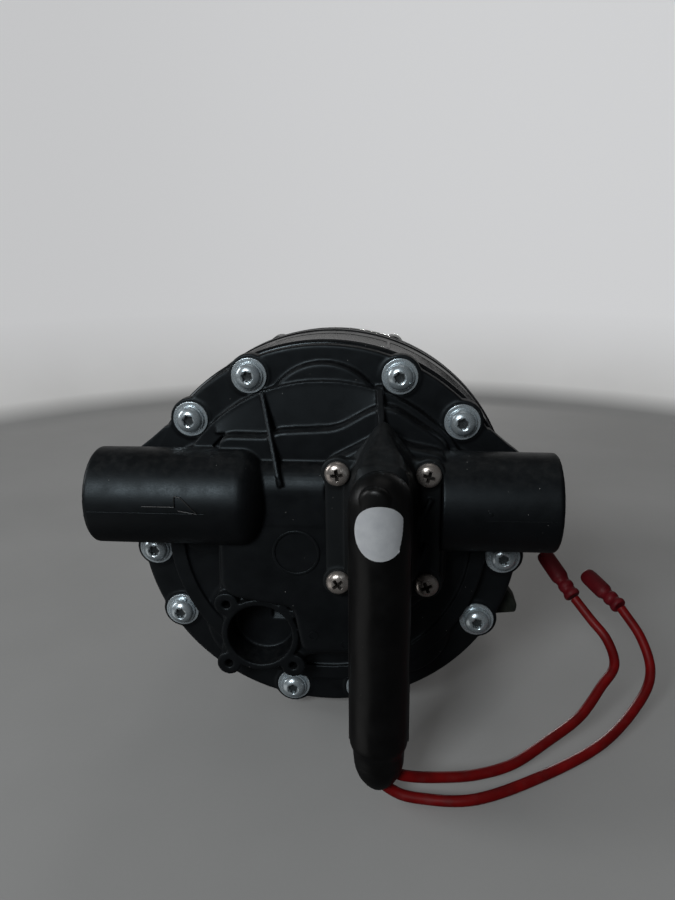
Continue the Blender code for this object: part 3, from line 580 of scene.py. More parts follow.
def enamel(name, color, roughness):
    """Sprayed paint on steel: orange peel, thin on the edges, a little dust."""
    f = Finish(name, coat=0.25)
    peel = f.noise(1.4, 2)
    clouds = f.noise(20, 5)
    body = f.mottled(clouds, tinted(color, 0.8), tinted(color, 1.3))
    body = f.mix(f.times(f.edges(0.55, 0.68), 0.6), body, (0.12, 0.12, 0.125))
    film = f.times(f.remap(f.facing_up(), 0.4, 1.0), f.remap(f.noise(3, 6), 0.4, 0.75, 0, 0.12))
    body = f.mix(film, body, (0.4, 0.39, 0.37))
    rough = f.plus(f.spread(clouds, roughness - 0.04, roughness + 0.05), film)
    return f.finish(body, rough, peel, 0.02)


def paper(name):
    """Sticker stock: off-white, faintly fibrous, greyer towards its rubbed places."""
    f = Finish(name)
    fibres = f.noise(0.3, 4, (1, 1, 0.35))
    clouds = f.noise(3.5, 5)
    body = f.mottled(clouds, (0.55, 0.56, 0.58), (0.64, 0.65, 0.66))
    body = f.mix(f.remap(fibres, 0.55, 0.8, 0, 0.3), body, (0.5, 0.51, 0.54))
    return f.finish(body, f.spread(fibres, 0.42, 0.6), fibres, 0.015)


def vinyl(name, color, roughness):
    """Extruded insulation: drawn along its length, slightly waxy, with grubby patches."""
    f = Finish(name, specular=0.3)
    clouds = f.noise(7, 5)
    fine = f.noise(0.6, 3)
    body = f.mottled(clouds, tinted(color, 0.72), tinted(color, 1.2))
    grubby = f.times(f.remap(f.noise(4, 6), 0.55, 0.75), 0.35)
    body = f.mix(grubby, body, (0.16, 0.03, 0.03))
    rough = f.plus(f.spread(fine, roughness - 0.05, roughness + 0.05), f.times(grubby, 0.4))
    return f.finish(body, rough, fine, 0.012)


def ceramic(name, color, roughness):
    """Pressed powder, as in magnets and brushes."""
    f = Finish(name)
    grit = f.noise(0.3, 4, contrast=0.7)
    body = f.mottled(grit, tinted(color, 0.7), tinted(color, 1.4))
    return f.finish(body, f.spread(grit, roughness - 0.08, roughness + 0.08), grit, 0.03)


def studio_floor(name):
    """Pale paper, a little darker on the ground than on the wall, glowing as painted light: weakly on
    the ground, strongly on the wall.
    """
    f = Finish(name)
    clouds = f.noise(90, 4)
    fine = f.noise(1.5, 3)
    height = f.tree.nodes.new("ShaderNodeSeparateXYZ")
    f.put(f.point, height.inputs[0])
    ground = f.mottled(clouds, (0.37, 0.367, 0.36), (0.40, 0.397, 0.39))
    body = f.mix(f.remap(height.outputs["Z"], 0, 90), ground, (0.55, 0.55, 0.555))
    # Painted light: the paper glows by emission, weakly on the ground and strongly from 14 mm up the
    # wall.
    f.put(body, f.shader.inputs["Emission Color"])
    f.put(f.remap(height.outputs["Z"], 0, 14, 0.10, 0.80), f.shader.inputs["Emission Strength"])
    return f.finish(body, f.spread(fine, 0.6, 0.7), fine, 0.02)


BLACK = (0.0042, 0.0044, 0.0050)
HOUSING = plastic("housing_plastic_looks", BLACK, 0.45)
SWITCH_PLASTIC = plastic("switch_plastic_looks", (0.0075, 0.0077, 0.0080), 0.52, grain=0.4)
DRUM_PLASTIC = plastic("drum_plastic_looks", (0.0075, 0.0078, 0.0085), 0.20, grain=0.8, depth=0.004)
RUBBER = rubber("black_rubber_looks", (0.0020, 0.0019, 0.0019), 0.40)
VALVE_RUBBER = rubber("valve_rubber_looks", (0.02, 0.02, 0.021), 0.55)
ZINC = plated("zinc_looks", (0.72, 0.79, 0.82), (0.54, 0.62, 0.67), 0.24, recess="star")
STAINLESS = plated(
    "stainless_looks", (0.66, 0.60, 0.55), (0.46, 0.40, 0.36), 0.24, metallic=0.75, recess="cross"
)
STEEL = bare_metal("steel_looks", (0.42, 0.43, 0.45), 0.32, (0.1, 1, 1))
COPPER = bare_metal("copper_looks", (0.72, 0.36, 0.2), 0.3, (1, 0.2, 1))
PAINT = enamel("motor_paint_looks", (0.014, 0.0142, 0.015), 0.33)
NYLON = plastic("white_nylon_looks", (0.62, 0.61, 0.57), 0.42, dust=0.0, wear=1.1)
SWITCH_CASE = plastic("switch_case_looks", (0.03, 0.03, 0.033), 0.45, dust=0.0)
PAPER = paper("label_paper_looks")
WIRE_RED = vinyl("wire_red_looks", (0.20, 0.0030, 0.0034), 0.45)
TERMINAL_RED = vinyl("terminal_red_looks", (0.16, 0.005, 0.010), 0.55)
FERRITE = ceramic("ferrite_looks", (0.05, 0.05, 0.055), 0.6)
CARBON = ceramic("carbon_looks", (0.03, 0.03, 0.03), 0.7)
LUG_METAL = plated("lug_looks", (0.045, 0.05, 0.04), (0.02, 0.025, 0.02), 0.5)

# ---------------------------------------------------------------- head cover

DECK_OUTLINE = [
    (-34, 38.2), (-17, 38.0), (-15, 39.8), (5, 40.9), (17.5, 48.2), (24, 48), (41.5, 36), (41.5, -13),
    (30, -22), (19, -41.5), (-6, -41.5), (-10, -46), (-35, -46), (-37, -20), (-36, 20),
]  # fmt: skip
SWITCH_BLOCK_OUTLINE = [
    (2, 18.5), (2, 31.2), (14.7, 38.0), (20.4, 41.5), (27, 37.5), (40.3, 34.8), (40.3, -12), (29, -14),
    (21, -36.6), (-7, -36.6), (-10, -20), (-30, -17), (-34.5, -13), (-34, 17.5),
]  # fmt: skip


def port_body(side, root):
    """One port, still solid: a tube with a rounded mouth that ends inside the head at root."""
    mouth = side * PORT_END_X
    profile = [
        *root, (PORT_R, mouth - side * 14), (PORT_R - 0.05, mouth - side * 0.9),
        (PORT_R - 0.8, mouth), (0, mouth),
    ]  # fmt: skip
    return turned(profile, head(0, PORT_Y, PORT_Z), ALONG_X, 96)


def domed_root(tip_x, depth):
    """(radius, x) points of a port's rounded inner end, whose tip is at tip_x."""
    angles = [math.radians(7.5 * i) for i in range(13)]
    return [(PORT_R * math.sin(a), tip_x - depth * (1 - math.cos(a))) for a in angles]


def passage():
    """The rounded shoulder of the water passage that runs from the left port to the switch."""
    front, top, radius = BLOCK_FRONT_Y - 0.1, PASSAGE_TOP_Z, PASSAGE_SHOULDER_R
    middle_y = front + radius
    turn = [math.radians(angle) for angle in range(90, -1, -9)]
    shoulder = [(middle_y - radius * math.cos(a), top - radius * (1 - math.sin(a))) for a in turn]
    section = [(EMBED_Y, top), *shoulder, (front, 10), (EMBED_Y, 10)]
    return loft(*[[head(x, y, z) for y, z in section] for x in (-32, 1.5)])


def spare_port():
    """The empty port's wall and its four screw bosses."""
    body = rod(SPARE_BORE_R + 2.3, SPARE_FRONT_Y, FLANGE_FRONT_Y + 1, SPARE_X, SPARE_Z, 64)
    bosses = [rod(4.3, SPARE_FRONT_Y, FLANGE_FRONT_Y + 1.5, x, z, 32) for x, z in SPARE_HOLES]
    return join(body, *bosses)


def spare_port_cutters():
    """Its bore, the side passage seen inside it, and the screw holes."""
    return [
        rod(SPARE_BORE_R, SPARE_FRONT_Y - 1, -1, SPARE_X, SPARE_Z, 64),
        rod_x(5.0, -20, -5, -4.5, SPARE_Z + 4, 24),
        *[rod(1.45, SPARE_FRONT_Y - 1, SPARE_FRONT_Y + 9, x, z, 20) for x, z in SPARE_HOLES],
    ]


def chamber_pad(angle):
    """A chamber's round pad."""
    x, z = on_circle(PAD_CIRCLE_R, angle)
    profile = [(0, -2.2), (19.7, -2.2), (20.4, -1.5), (20.6, 2.5), (0, 2.5)]
    return turned(rounded(profile, 0.3), head(x, 0, z), ALONG_Y, 72)


def sloping_floor():
    """The surface that falls forward from inside the ring to the deck's top edge."""
    deck_top = [(-38, 37.6), (-17, 37.4), (-15, 39.2), (5, 40.3), (17.5, 47.4), (24, 47.4)]
    sections = []
    for step in range(-42, 21):
        x, z = on_circle(RING_R - 0.8, step)
        for (x0, z0), (x1, z1) in zip(deck_top, deck_top[1:]):
            if x0 <= x <= x1:
                low = z0 + (z1 - z0) * (x - x0) / (x1 - x0)
        low = min(low, z - 0.5)
        sections.append([head(x, -3.15, z), head(x, -4.2, low), head(x, 2.4, low), head(x, 2.4, z)])
    return loft(*sections)


def corner_web(side):
    """The web that fills the corner between a port and the flange's rim."""
    outline = [(66, 30), (64.8, 31.2), (61.2, 33.9), (55.6, 38.6), (44, 40), (44, 30)]
    return plate([(side * x, z) for x, z in outline], FLANGE_FRONT_Y + 0.1, 5.4)


def cover_body():
    cover = turned(
        rounded([(0, 1), (66.5, 1), (FLANGE_R, 1.5), (FLANGE_R, 5.2), (66.4, 6), (0, 6)], 0.3),
        head(0, 0, 0), ALONG_Y, 160,
    )  # fmt: skip
    rib_outlines = [
        [(-20.5, -3.5, 51.8), (-20.5, 2, 51.8), (-13, 2, 24), (-12.6, -17.8, 23.6), (-13.6, -17.5, 27)],
        [(18.6, -4, 53.5), (18.6, 2, 53.5), (20.4, 2, 33), (20.4, -20.3, 33), (20.2, -18.8, 40)],
    ]
    ribs = [
        web(rib_outlines[0], 0.75, (1, 0, 0.26)),
        web(rib_outlines[1], 1.1, (1, 0, 0.05)),
    ]
    join(cover, *[chamber_pad(angle) for angle in chamber_angles()])
    join(cover, *[rod(7.2, 0.72, 5.5, *on_circle(BOLT_CIRCLE_R, a), 36, 0.3) for a in bolt_angles()])
    join(
        cover,
        ring(RING_R, RING_R - RING_WIDTH, -3.2, FLANGE_FRONT_Y + 1, steps=160),
        bevelled(plate(rounded(DECK_OUTLINE, 4, 4, True), DECK_FRONT_Y, 2.2), 1.0, 2),
        bevelled(plate(rounded(SWITCH_BLOCK_OUTLINE, 3, 3, True), BLOCK_FRONT_Y, 2.4), 1.2, 2),
        passage(),
        sloping_floor(),
        rod(51, -2.0, 2.6, steps=128),
        *ribs,
        port_body(-1, domed_root(LEFT_PORT_TIP_X, 9.3)),
        port_body(1, [(0, RIGHT_PORT_ROOT_X), (PORT_R + 0.25, RIGHT_PORT_ROOT_X)]),
        block((-60, -30), (PORT_Y, 2.5), (PORT_Z - 10.5, PORT_Z + 10.5)),
        block((39.2, 60), (PORT_Y, 2.5), (PORT_Z - 10.5, PORT_Z + 10.5)),
        corner_web(-1),
        corner_web(1),
        spare_port(),
    )
    cut(
        cover,
        *spare_port_cutters(),
        rod_x(PORT_BORE_R, -PORT_END_X - 1, -36, PORT_Y, PORT_Z),
        rod_x(PORT_BORE_R, 43, PORT_END_X + 1, PORT_Y, PORT_Z),
    )
    return moulded(cover, 0.40, 3, 0.3)


def flow_arrow():
    """A raised arrow on the left port that points the way in."""
    wrap = PORT_R + 0.12
    strokes = [
        [(-56, 1.6), (-45.4, 1.6)],
        [(-45.4, 1.6), (-45.4, 5.0)],
        [(-45.4, 5.0), (-43.4, 4.6)],
        [(-43.4, 4.6), (-38.0, -0.6)],
        [(-38.0, -0.6), (-44.2, 0.4)],
    ]
    bars = []
    for start, end in strokes:
        points = []
        for step in range(5):
            x, rise = Vector(start).lerp(Vector(end), step / 4)
            angle = rise / PORT_R
            points.append(head(x, PORT_Y - wrap * math.cos(angle), PORT_Z + wrap * math.sin(angle)))
        bars.append(swept(points, 0.26, 2))
    return gather(*bars)


def parting_lines():
    """The mould's parting line along the front of both ports."""
    y = PORT_Y - PORT_R - 0.02
    spans = [(-PORT_END_X + 1.8, -36), (42.6, PORT_END_X - 1.8)]
    return gather(*[swept([head(x, y, PORT_Z - 0.6) for x in ends], 0.08, 2) for ends in spans])


def ejector_marks():
    """Round witness marks of the mould's ejector pins."""
    big = ring(8.0, 7.0, BLOCK_FRONT_Y - 0.4, BLOCK_FRONT_Y + 0.5, -8.2, 0.5, 72, 0.25)
    small = [ring(1.6, 1.25, -17.25, -16.6, x, z, 24) for x, z in ((-24, 20), (8, -33), (-3, -30))]
    dot = rod(0.8, -26.5, -25.8, 53.5, PORT_Z + 1.5, 16, 0.2)
    return gather(big, *small, dot)


def port_thread(side):
    """Pipe thread inside a port's mouth, as closed ridges."""
    pitch, count = 1.81, 7
    root, crest = PORT_BORE_R + 0.3, PORT_BORE_R - 0.75
    mouth = PORT_END_X - 2.2
    ridges = []
    for index in range(count):
        x = side * (mouth - index * pitch)
        profile = [(root, x - 0.8), (crest, x - 0.1), (crest, x + 0.1), (root, x + 0.8)]
        ridges.append(turned(profile, head(0, PORT_Y, PORT_Z), ALONG_X, 64, True))
    return gather(*ridges)


def build_head():
    finished(cover_body(), "cover_looks", HOUSING, "head_cover", smooth=180)
    # The arrow's dark rubber finish is painted shade, standing for the shade in moulded grooves.
    finished(flow_arrow(), "flow_arrow", RUBBER)
    finished(parting_lines(), "port_parting_lines", HOUSING)
    finished(ejector_marks(), "ejector_marks", HOUSING)
    finished(port_thread(-1), "left_port_thread", HOUSING)
    finished(port_thread(1), "right_port_thread", HOUSING)


# ---------------------------------------------------------------- screws

QUARTER_TURN = [math.radians(9 * i) for i in range(10)]


def star_outline(radius, depth, lobes=6, points=48):
    return [
        (
            (radius + depth * math.cos(lobes * a)) * math.cos(a),
            (radius + depth * math.cos(lobes * a)) * math.sin(a),
        )
        for a in (2 * math.pi * i / points for i in range(points))
    ]


def prism(outline, low, high):
    """A local outline of (x, y) millimetres between two heights."""
    return loft(*[[Vector((x, y, h)) * MM for x, y in outline] for h in (low, high)])


def cover_screw_mesh():
    """Round head with a six-lobed recess, a split spring washer and a flat washer.
    Local +Z is outwards and 0 is the flat washer's top."""
    dome = [(4.3 * math.cos(a), 1.25 + 2.35 * math.sin(a)) for a in QUARTER_TURN]
    screw = turned([(0, -8), (2.5, -8), (2.5, 1.0), (4.1, 1.0), *dome, (0, 3.6)], (0, 0, 0), steps=48)
    cut(screw, prism(star_outline(1.75, 0.32), 1.9, 5.0))
    cut(screw, turned([(0, 5), (2.5, 5), (2.5, 3.42), (1.9, 3.05), (0, 3.05)], (0, 0, 0), steps=32))
    flat = turned(band(6.0, 2.6, -0.9, 0.0, 0.18), (0, 0, 0), steps=64, loop=True)
    spring = turned(band(4.75, 2.7, 0.02, 1.05, 0.15), (0, 0, 0), steps=64, loop=True)
    cut(spring, cuboid((2.2, 6.2), (-0.275, 0.275), (-1.5, 2.5), (0.5, 0, 0)))
    return gather(bevelled(screw, 0.1, 2, 50), spring, flat)


def cross_screw_mesh():
    """Pan head with a cross recess. Local +Z is outwards and 0 is the head's underside."""
    dome = [(4.0 * math.cos(a) ** 0.8, 0.6 + 2.2 * math.sin(a)) for a in QUARTER_TURN]
    screw = turned([(0, -4), (1.5, -4), (1.5, 0), (3.9, 0), *dome, (0, 2.8)], (0, 0, 0), steps=48)
    for turn in (0, 90):
        corner = Euler((0, 0, math.radians(turn))).to_matrix()
        low = [(-0.7, -0.34), (0.7, -0.34), (0.7, 0.34), (-0.7, 0.34)]
        high = [(-2.3, -0.62), (2.3, -0.62), (2.3, 0.62), (-2.3, 0.62)]
        bottom = [corner @ Vector((x, y, 0.7)) * MM for x, y in low]
        mouth = [corner @ Vector((x, y, 3.2)) * MM for x, y in high]
        cut(screw, loft(bottom, mouth))
    return bevelled(screw, 0.08, 2, 45)


def copies(pattern, names, places, turns, material, facing):
    """Places copies of one mesh, each turned its own way about its axis."""
    for name, place, angle in zip(names, places, turns):
        obj = add_object(pattern.data, place)
        obj.rotation_euler = (Euler(facing).to_matrix() @ Euler((0, 0, angle)).to_matrix()).to_euler()
        finished(obj, f"{name}_looks", material, name, smooth=35)
    bpy.data.objects.remove(pattern)


OUT_OF_COVER = (math.pi / 2, 0, 0)


def build_screws():
    rng = random.Random(11)
    angles = list(bolt_angles())
    places = [head(x, 0, z) for x, z in (on_circle(BOLT_CIRCLE_R, a) for a in angles)]
    names = [f"cover_screw_{i:02d}" for i in range(1, 11)]
    turns = [rng.uniform(0, 6.28) for _ in names]
    copies(cover_screw_mesh(), names, places, turns, ZINC, OUT_OF_COVER)
    under_head = span(SWITCH_SCREWS[0])[0].y + 2.8
    places = [head(middle(name).x, under_head, middle(name).z) for name in SWITCH_SCREWS]
    turns = [0.12, -0.3, 0.7, 0.4]
    copies(cross_screw_mesh(), SWITCH_SCREWS, places, turns, STAINLESS, OUT_OF_COVER)


# ---------------------------------------------------------------- pressure switch and its boot


# y, half width low down, half width of the roof, lowest z, shoulder z, roof z
TOWER_SECTIONS = [
    (PLATE_FRONT_Y + 3.0, 14.0, 1.2, -7, 29, 46.0),
    (PLATE_FRONT_Y - 1.6, 11.4, 1.8, -6, 27.5, 43.8),
    (PLATE_FRONT_Y - 6.5, 9.6, 3.7, -5, 27, 41.6),
    (PLATE_FRONT_Y - 11.5, 8.8, 6.0, -4, 29, 39.8),
    (TOWER_FRONT_Y - 2.5, 8.4, 6.8, -3.6, 31, 38.2),
    (TOWER_FRONT_Y - 6.5, 7.0, 4.0, -3.6, 29, 35.4),
]


def tower_loop(y, low_half, roof_half, low_z, shoulder_z, roof_z):
    half = [(low_half, low_z), (low_half, shoulder_z), (roof_half, roof_z)]
    outline = [(SWITCH_X + x, z) for x, z in half] + [(SWITCH_X - x, z) for x, z in half[::-1]]
    return [head(x, y, z) for x, z in rounded(outline, 3.0, 4, True)]


def build_switch_housing():
    """Screw plate with four bosses, and a tower that widens from a narrow ridge to the boot."""
    low, high = PLATE_LOW, PLATE_HIGH
    back = high.y
    places = [(middle(name).x, middle(name).z) for name in SWITCH_SCREWS]
    outline = [(low.x, low.z), (high.x, low.z), (high.x, high.z), (low.x, high.z)]
    housing = bevelled(plate(rounded(outline, 4.5, 5, True), PLATE_FRONT_Y, back), 0.6, 2)
    bosses = [rod(5.2, PLATE_FRONT_Y - 0.25, back, x, z, 48, 0.4) for x, z in places]
    join(housing, *bosses, loft(*[tower_loop(*section) for section in TOWER_SECTIONS]))
    for top, bottom in (((35.6, 21.6), (27.6, 4.6)), ((34.6, 6.6), (27.2, -14.6))):
        fin = [
            (top[0], PLATE_FRONT_Y + 1, top[1]), (top[0], PLATE_FRONT_Y - 1.0, top[1]),
            (bottom[0], PLATE_FRONT_Y - 4.2, bottom[1]), (bottom[0], PLATE_FRONT_Y + 1, bottom[1]),
        ]  # fmt: skip
        join(housing, web(fin, 0.75, (0.9, 0, -0.42)))
    clear = [rod(4.45, -34, PLATE_FRONT_Y - 0.28, x, z, 40) for x, z in places]
    cut(housing, *clear)
    moulded(housing, 0.36, 4, 0.4)
    finished(housing, "switch_housing_looks", SWITCH_PLASTIC, "switch_housing", smooth=180)


HOOD_STRAIGHT_END_Z = -48.4
BUMP_X, BUMP_Z, BUMP_R, BUMP_EDGE = -1.2, 31.0, 4.9, 1.9


def hood_profile():
    """(radius, z) points of the boot: domed top, long straight wall, a crease and a blunt nose."""
    dome_z = HOOD_TOP_Z - HOOD_R
    points = []
    for i in range(13):
        angle = math.radians(90 - 7.5 * i)
        points.append((HOOD_R * math.cos(angle), dome_z + HOOD_R * math.sin(angle)))
    straight = 46
    for i in range(1, straight + 1):
        points.append((HOOD_R, dome_z + (HOOD_STRAIGHT_END_Z - dome_z) * i / straight))
    nose = [
        (8.9, -49.6), (8.35, -50.8), (8.05, -52.2), (8.0, -54), (7.9, -55.2), (7.82, -55.8),
        (7.85, -56.4), (7.4, -58.6), (6.6, -60.6), (5.5, -62.4), (4.1, -64.2), (2.4, -65.7),
        (1.6, -66.2), (1.3, -66.8), (0, -67),
    ]  # fmt: skip
    return points + nose


def hood_bulge(x, y, z):
    """How far, in millimetres, a point of the boot's skin moves outwards from its axis."""
    shift = 0.10 * math.sin(z * 0.21 + x * 0.3) * (1 if z < 25 else 0)
    pinch = math.exp(-((z + 57.5) ** 2) / 22)
    shift -= 0.5 * pinch * abs(y) / HOOD_R
    return shift


def hood_bump():
    """The soft round bump over the end of the switch, high on the boot's front."""
    skin = HOOD_R + 0.05
    front = HOOD_Y - skin
    profile = rounded([(0, HOOD_Y), (BUMP_R, HOOD_Y), (BUMP_R, front), (0, front)], BUMP_EDGE, 7)
    profile[-1:-1] = [(1.9, front), (1.0, front)]
    bump = turned(profile, head(HOOD_X + BUMP_X, 0, BUMP_Z), ALONG_Y, 64)
    for vertex in bump.data.vertices:
        aside = vertex.co.x / MM + BUMP_X
        vertex.co.z += (skin - math.sqrt(skin**2 - aside**2)) * MM
    return bump


def build_hood():
    obj = turned(hood_profile(), head(HOOD_X, HOOD_Y, 0), steps=72)
    for vertex in obj.data.vertices:
        x, y, z = vertex.co / MM
        radius = math.hypot(x, y)
        if radius > 0.01:
            grow = 1 + hood_bulge(x, y, z) / radius * min(1.0, radius / HOOD_R)
            vertex.co.x *= grow
            vertex.co.y *= grow
    detail = obj.modifiers.new("round", "SUBSURF")
    detail.levels = detail.render_levels = 1
    bake(obj)
    join(obj, hood_bump())
    finished(obj, "switch_boot_looks", RUBBER, "switch_hood", smooth=60)
    seam = [head(HOOD_X + side * (HOOD_R + 0.02), HOOD_Y, z) for side in (-1, 1) for z in (27, -49)]
    seams = [swept(seam[i : i + 2], 0.16, 2) for i in (0, 2)]
    finished(gather(*seams), "boot_seams", RUBBER)


def build_label():
    """Round blank sticker wrapped on the boot, trimmed along its right side, with a lifted flap."""
    low, high = span("label")
    centre_x, centre_z = (low.x + high.x) / 2, (low.z + high.z) / 2
    radius = (high.z - low.z) / 2
    wrap = HOOD_R + 0.16
    columns, rows = 56, 56
    bm = bmesh.new()
    grid = {}
    for i in range(columns + 1):
        for j in range(rows + 1):
            u = (2 * i / columns - 1) * radius
            v = (2 * j / rows - 1) * radius
            # Square to disc, so that the sheet's edge is a clean circle
            s, t = u / radius, v / radius
            x = radius * s * math.sqrt(1 - t * t / 2)
            z = radius * t * math.sqrt(1 - s * s / 2)
            flap = math.exp(-(((z + 6.2) / 0.7) ** 2))
            side_edge = 6.95 - 0.02 * (z - 3.0) ** 2 + 1.3 * flap + 0.05 * math.sin(z * 5)
            x = min(x, side_edge + 0.03 * max(0, x - side_edge))
            lift = 0.5 * flap * max(0, x - 5.2)
            bend = (centre_x - HOOD_X + x) / wrap
            around = wrap + lift
            grid[i, j] = bm.verts.new(
                head(HOOD_X + around * math.sin(bend), HOOD_Y - around * math.cos(bend), centre_z + z)
            )
    for i in range(columns):
        for j in range(rows):
            bm.faces.new((grid[i, j], grid[i + 1, j], grid[i + 1, j + 1], grid[i, j + 1]))
    sheet = from_bmesh(bm)
    shell = sheet.modifiers.new("paper", "SOLIDIFY")
    shell.thickness = 0.14 * MM
    bake(sheet)
    finished(sheet, "label_looks", PAPER, "label", smooth=50)


# ---------------------------------------------------------------- leads

WIRE_OUTER = [
    (18.45, -45, -30), (18.45, -45, -50), (19.6, -45, -61), (24.5, -44.5, -67.5), (33, -45, -69.8),
    (51, -44, -70), (74, -33, -68.6), (96, -19, -65.6), (112, -3, -60), (118, 6, -53),
    (116.5, 15, -44.5), (111, 24, -37),
]  # fmt: skip
WIRE_INNER = [
    (22.35, -45, -30), (22.35, -45, -47), (22.9, -45, -54.5), (25.4, -44.4, -60.8), (31, -42.6, -63.8),
    (41, -39.5, -66),
    (52, -36, -67.2), (64, -31, -66.5), (76, -22.5, -64), (89, -13, -60), (98, -4, -53.5),
    (104, 3, -49), (103, 11, -43.5), (98, 17, -38.3), (93, 23, -33),
]  # fmt: skip
TERMINAL_OUTER_END = (101, 41, -31)
TERMINAL_INNER_END = (83, 38, -21)


def build_terminal(name, start, end):
    """Crimped bullet terminal: moulded sleeve with a flared mouth, two crimps and a closed tip."""
    along = Vector(end) - Vector(start)
    length = along.length
    turn = along.to_track_quat("Z", "Y").to_euler()
    profile = [
        (WIRE_R - 0.05, 0.9), (2.5, 0.7), (3.05, 1.3), (3.1, 2.4), (2.75, 3.2), (2.7, 4.3), (2.95, 5.0),
        (2.95, 6.6), (2.7, 7.2), (2.75, 8.6), (3.2, 9.6), (3.3, 11), (3.3, length - 3),
        (3.15, length - 1.2), (2.6, length - 0.1), (1.6, length), (0, length),
    ]  # fmt: skip
    sleeve = turned([(0, 0.9), *rounded(profile, 0.4)], head(*start), turn, 40)
    for vertex in sleeve.data.vertices:
        height = vertex.co.z / MM
        for crimp in (4.0, 7.6):
            press = math.exp(-(((height - crimp) / 0.9) ** 2))
            vertex.co.y *= 1 - 0.16 * press
    return finished(sleeve, f"{name}_looks", TERMINAL_RED, name, smooth=60)


def build_leads():
    for name, knots, end in (
        ("outer", WIRE_OUTER, TERMINAL_OUTER_END),
        ("inner", WIRE_INNER, TERMINAL_INNER_END),
    ):
        path = [head(*point) for point in smooth_path(knots, 9)]
        finished(swept(path, WIRE_R, 7), f"wire_{name}_looks", WIRE_RED, f"wire_{name}", smooth=60)
        build_terminal(f"terminal_{name}", knots[-1], end)


# ---------------------------------------------------------------- drum, adapter and motor


def build_drum():
    """Drive housing: beads at both ends, a parting groove and a lug at the lower right."""
    front, back, outer = DRUM_FRONT_Y, DRUM_BACK_Y, DRUM_R
    inner, skin, groove = outer - 8, outer - 0.5, outer - 0.9
    profile = [
        (inner, front), (groove, front), (outer, front + 0.9), (outer, front + 2.6),
        (skin, front + 3.1), (skin, back - 12.2), (groove, back - 11.9), (groove, back - 11.3),
        (skin, back - 11), (skin, back - 3.4), (outer, back - 2.9), (outer, back - 0.7),
        (outer - 0.8, back), (inner, back),
    ]  # fmt: skip
    drum = turned(rounded(profile, 0.35, 2, True), head(0, 0, 0), ALONG_Y, 180, True)
    finished(drum, "drum_looks", DRUM_PLASTIC, "drive_housing", smooth=45)
    ribs = []
    for angle in [18 + 36 * i for i in range(10)]:
        x, z = on_circle(outer - 0.9, angle)
        ribs.append(rod(0.9, front + 3, back - 12, x, z, 16, 0.3))
    finished(gather(*ribs), "drum_ribs", DRUM_PLASTIC)
    outline = [(60, -21), (64.8, -22.4), (68.9, -28.6), (68.5, -31.6), (60, -32.6)]
    lug = plate(rounded(outline, 0.9, 3, True), 8, 17)
    finished(bevelled(lug, 0.9, 3), "drum_lug", LUG_METAL, smooth=35)


def build_adapter():
    """Rear ring of the drum with its screw bosses and radial ribs."""
    low, high = span("motor_adapter")
    front, outer, back = low.y, DRUM_R, 50.0
    profile = [
        (46, front + 6), (62, front + 6), (62, front), (outer - 0.8, front), (outer, front + 0.8),
        (outer, front + 3), (outer - 0.5, front + 3.5), (outer - 0.5, back - 2.2),
        (outer - 2.4, back), (46, back),
    ]  # fmt: skip
    adapter = turned(rounded(profile, 0.4, 2, True), head(0, 0, 0), ALONG_Y, 160, True)
    hub = ring(48, 6, 46.5, 49.9, steps=96)
    places = [on_circle(64.0, angle) for angle in (20, 160, 200, 340)]
    bosses = [rod(4.2, 44, high.y, x, z, 32, 0.6) for x, z in places]
    ribs = []
    for index in range(20):
        x, z = on_circle(1, 18 * index + 9)
        line = [(46, 48), (46, 52.2), (63, 50.6), (63, 48)]
        ribs.append(web([(r * x, y, r * z) for r, y in line], 0.9, (z, 0, -x)))
    join(adapter, hub, *bosses, *ribs)
    moulded(adapter, 0.6, 3, 0.4)
    finished(adapter, "motor_adapter_looks", DRUM_PLASTIC, "motor_adapter", smooth=180)
    heads = [rod(2.6, high.y - 0.2, high.y + 1.1, x, z, 24, 0.4) for x, z in places]
    finished(gather(*heads), "adapter_screw_heads", ZINC)


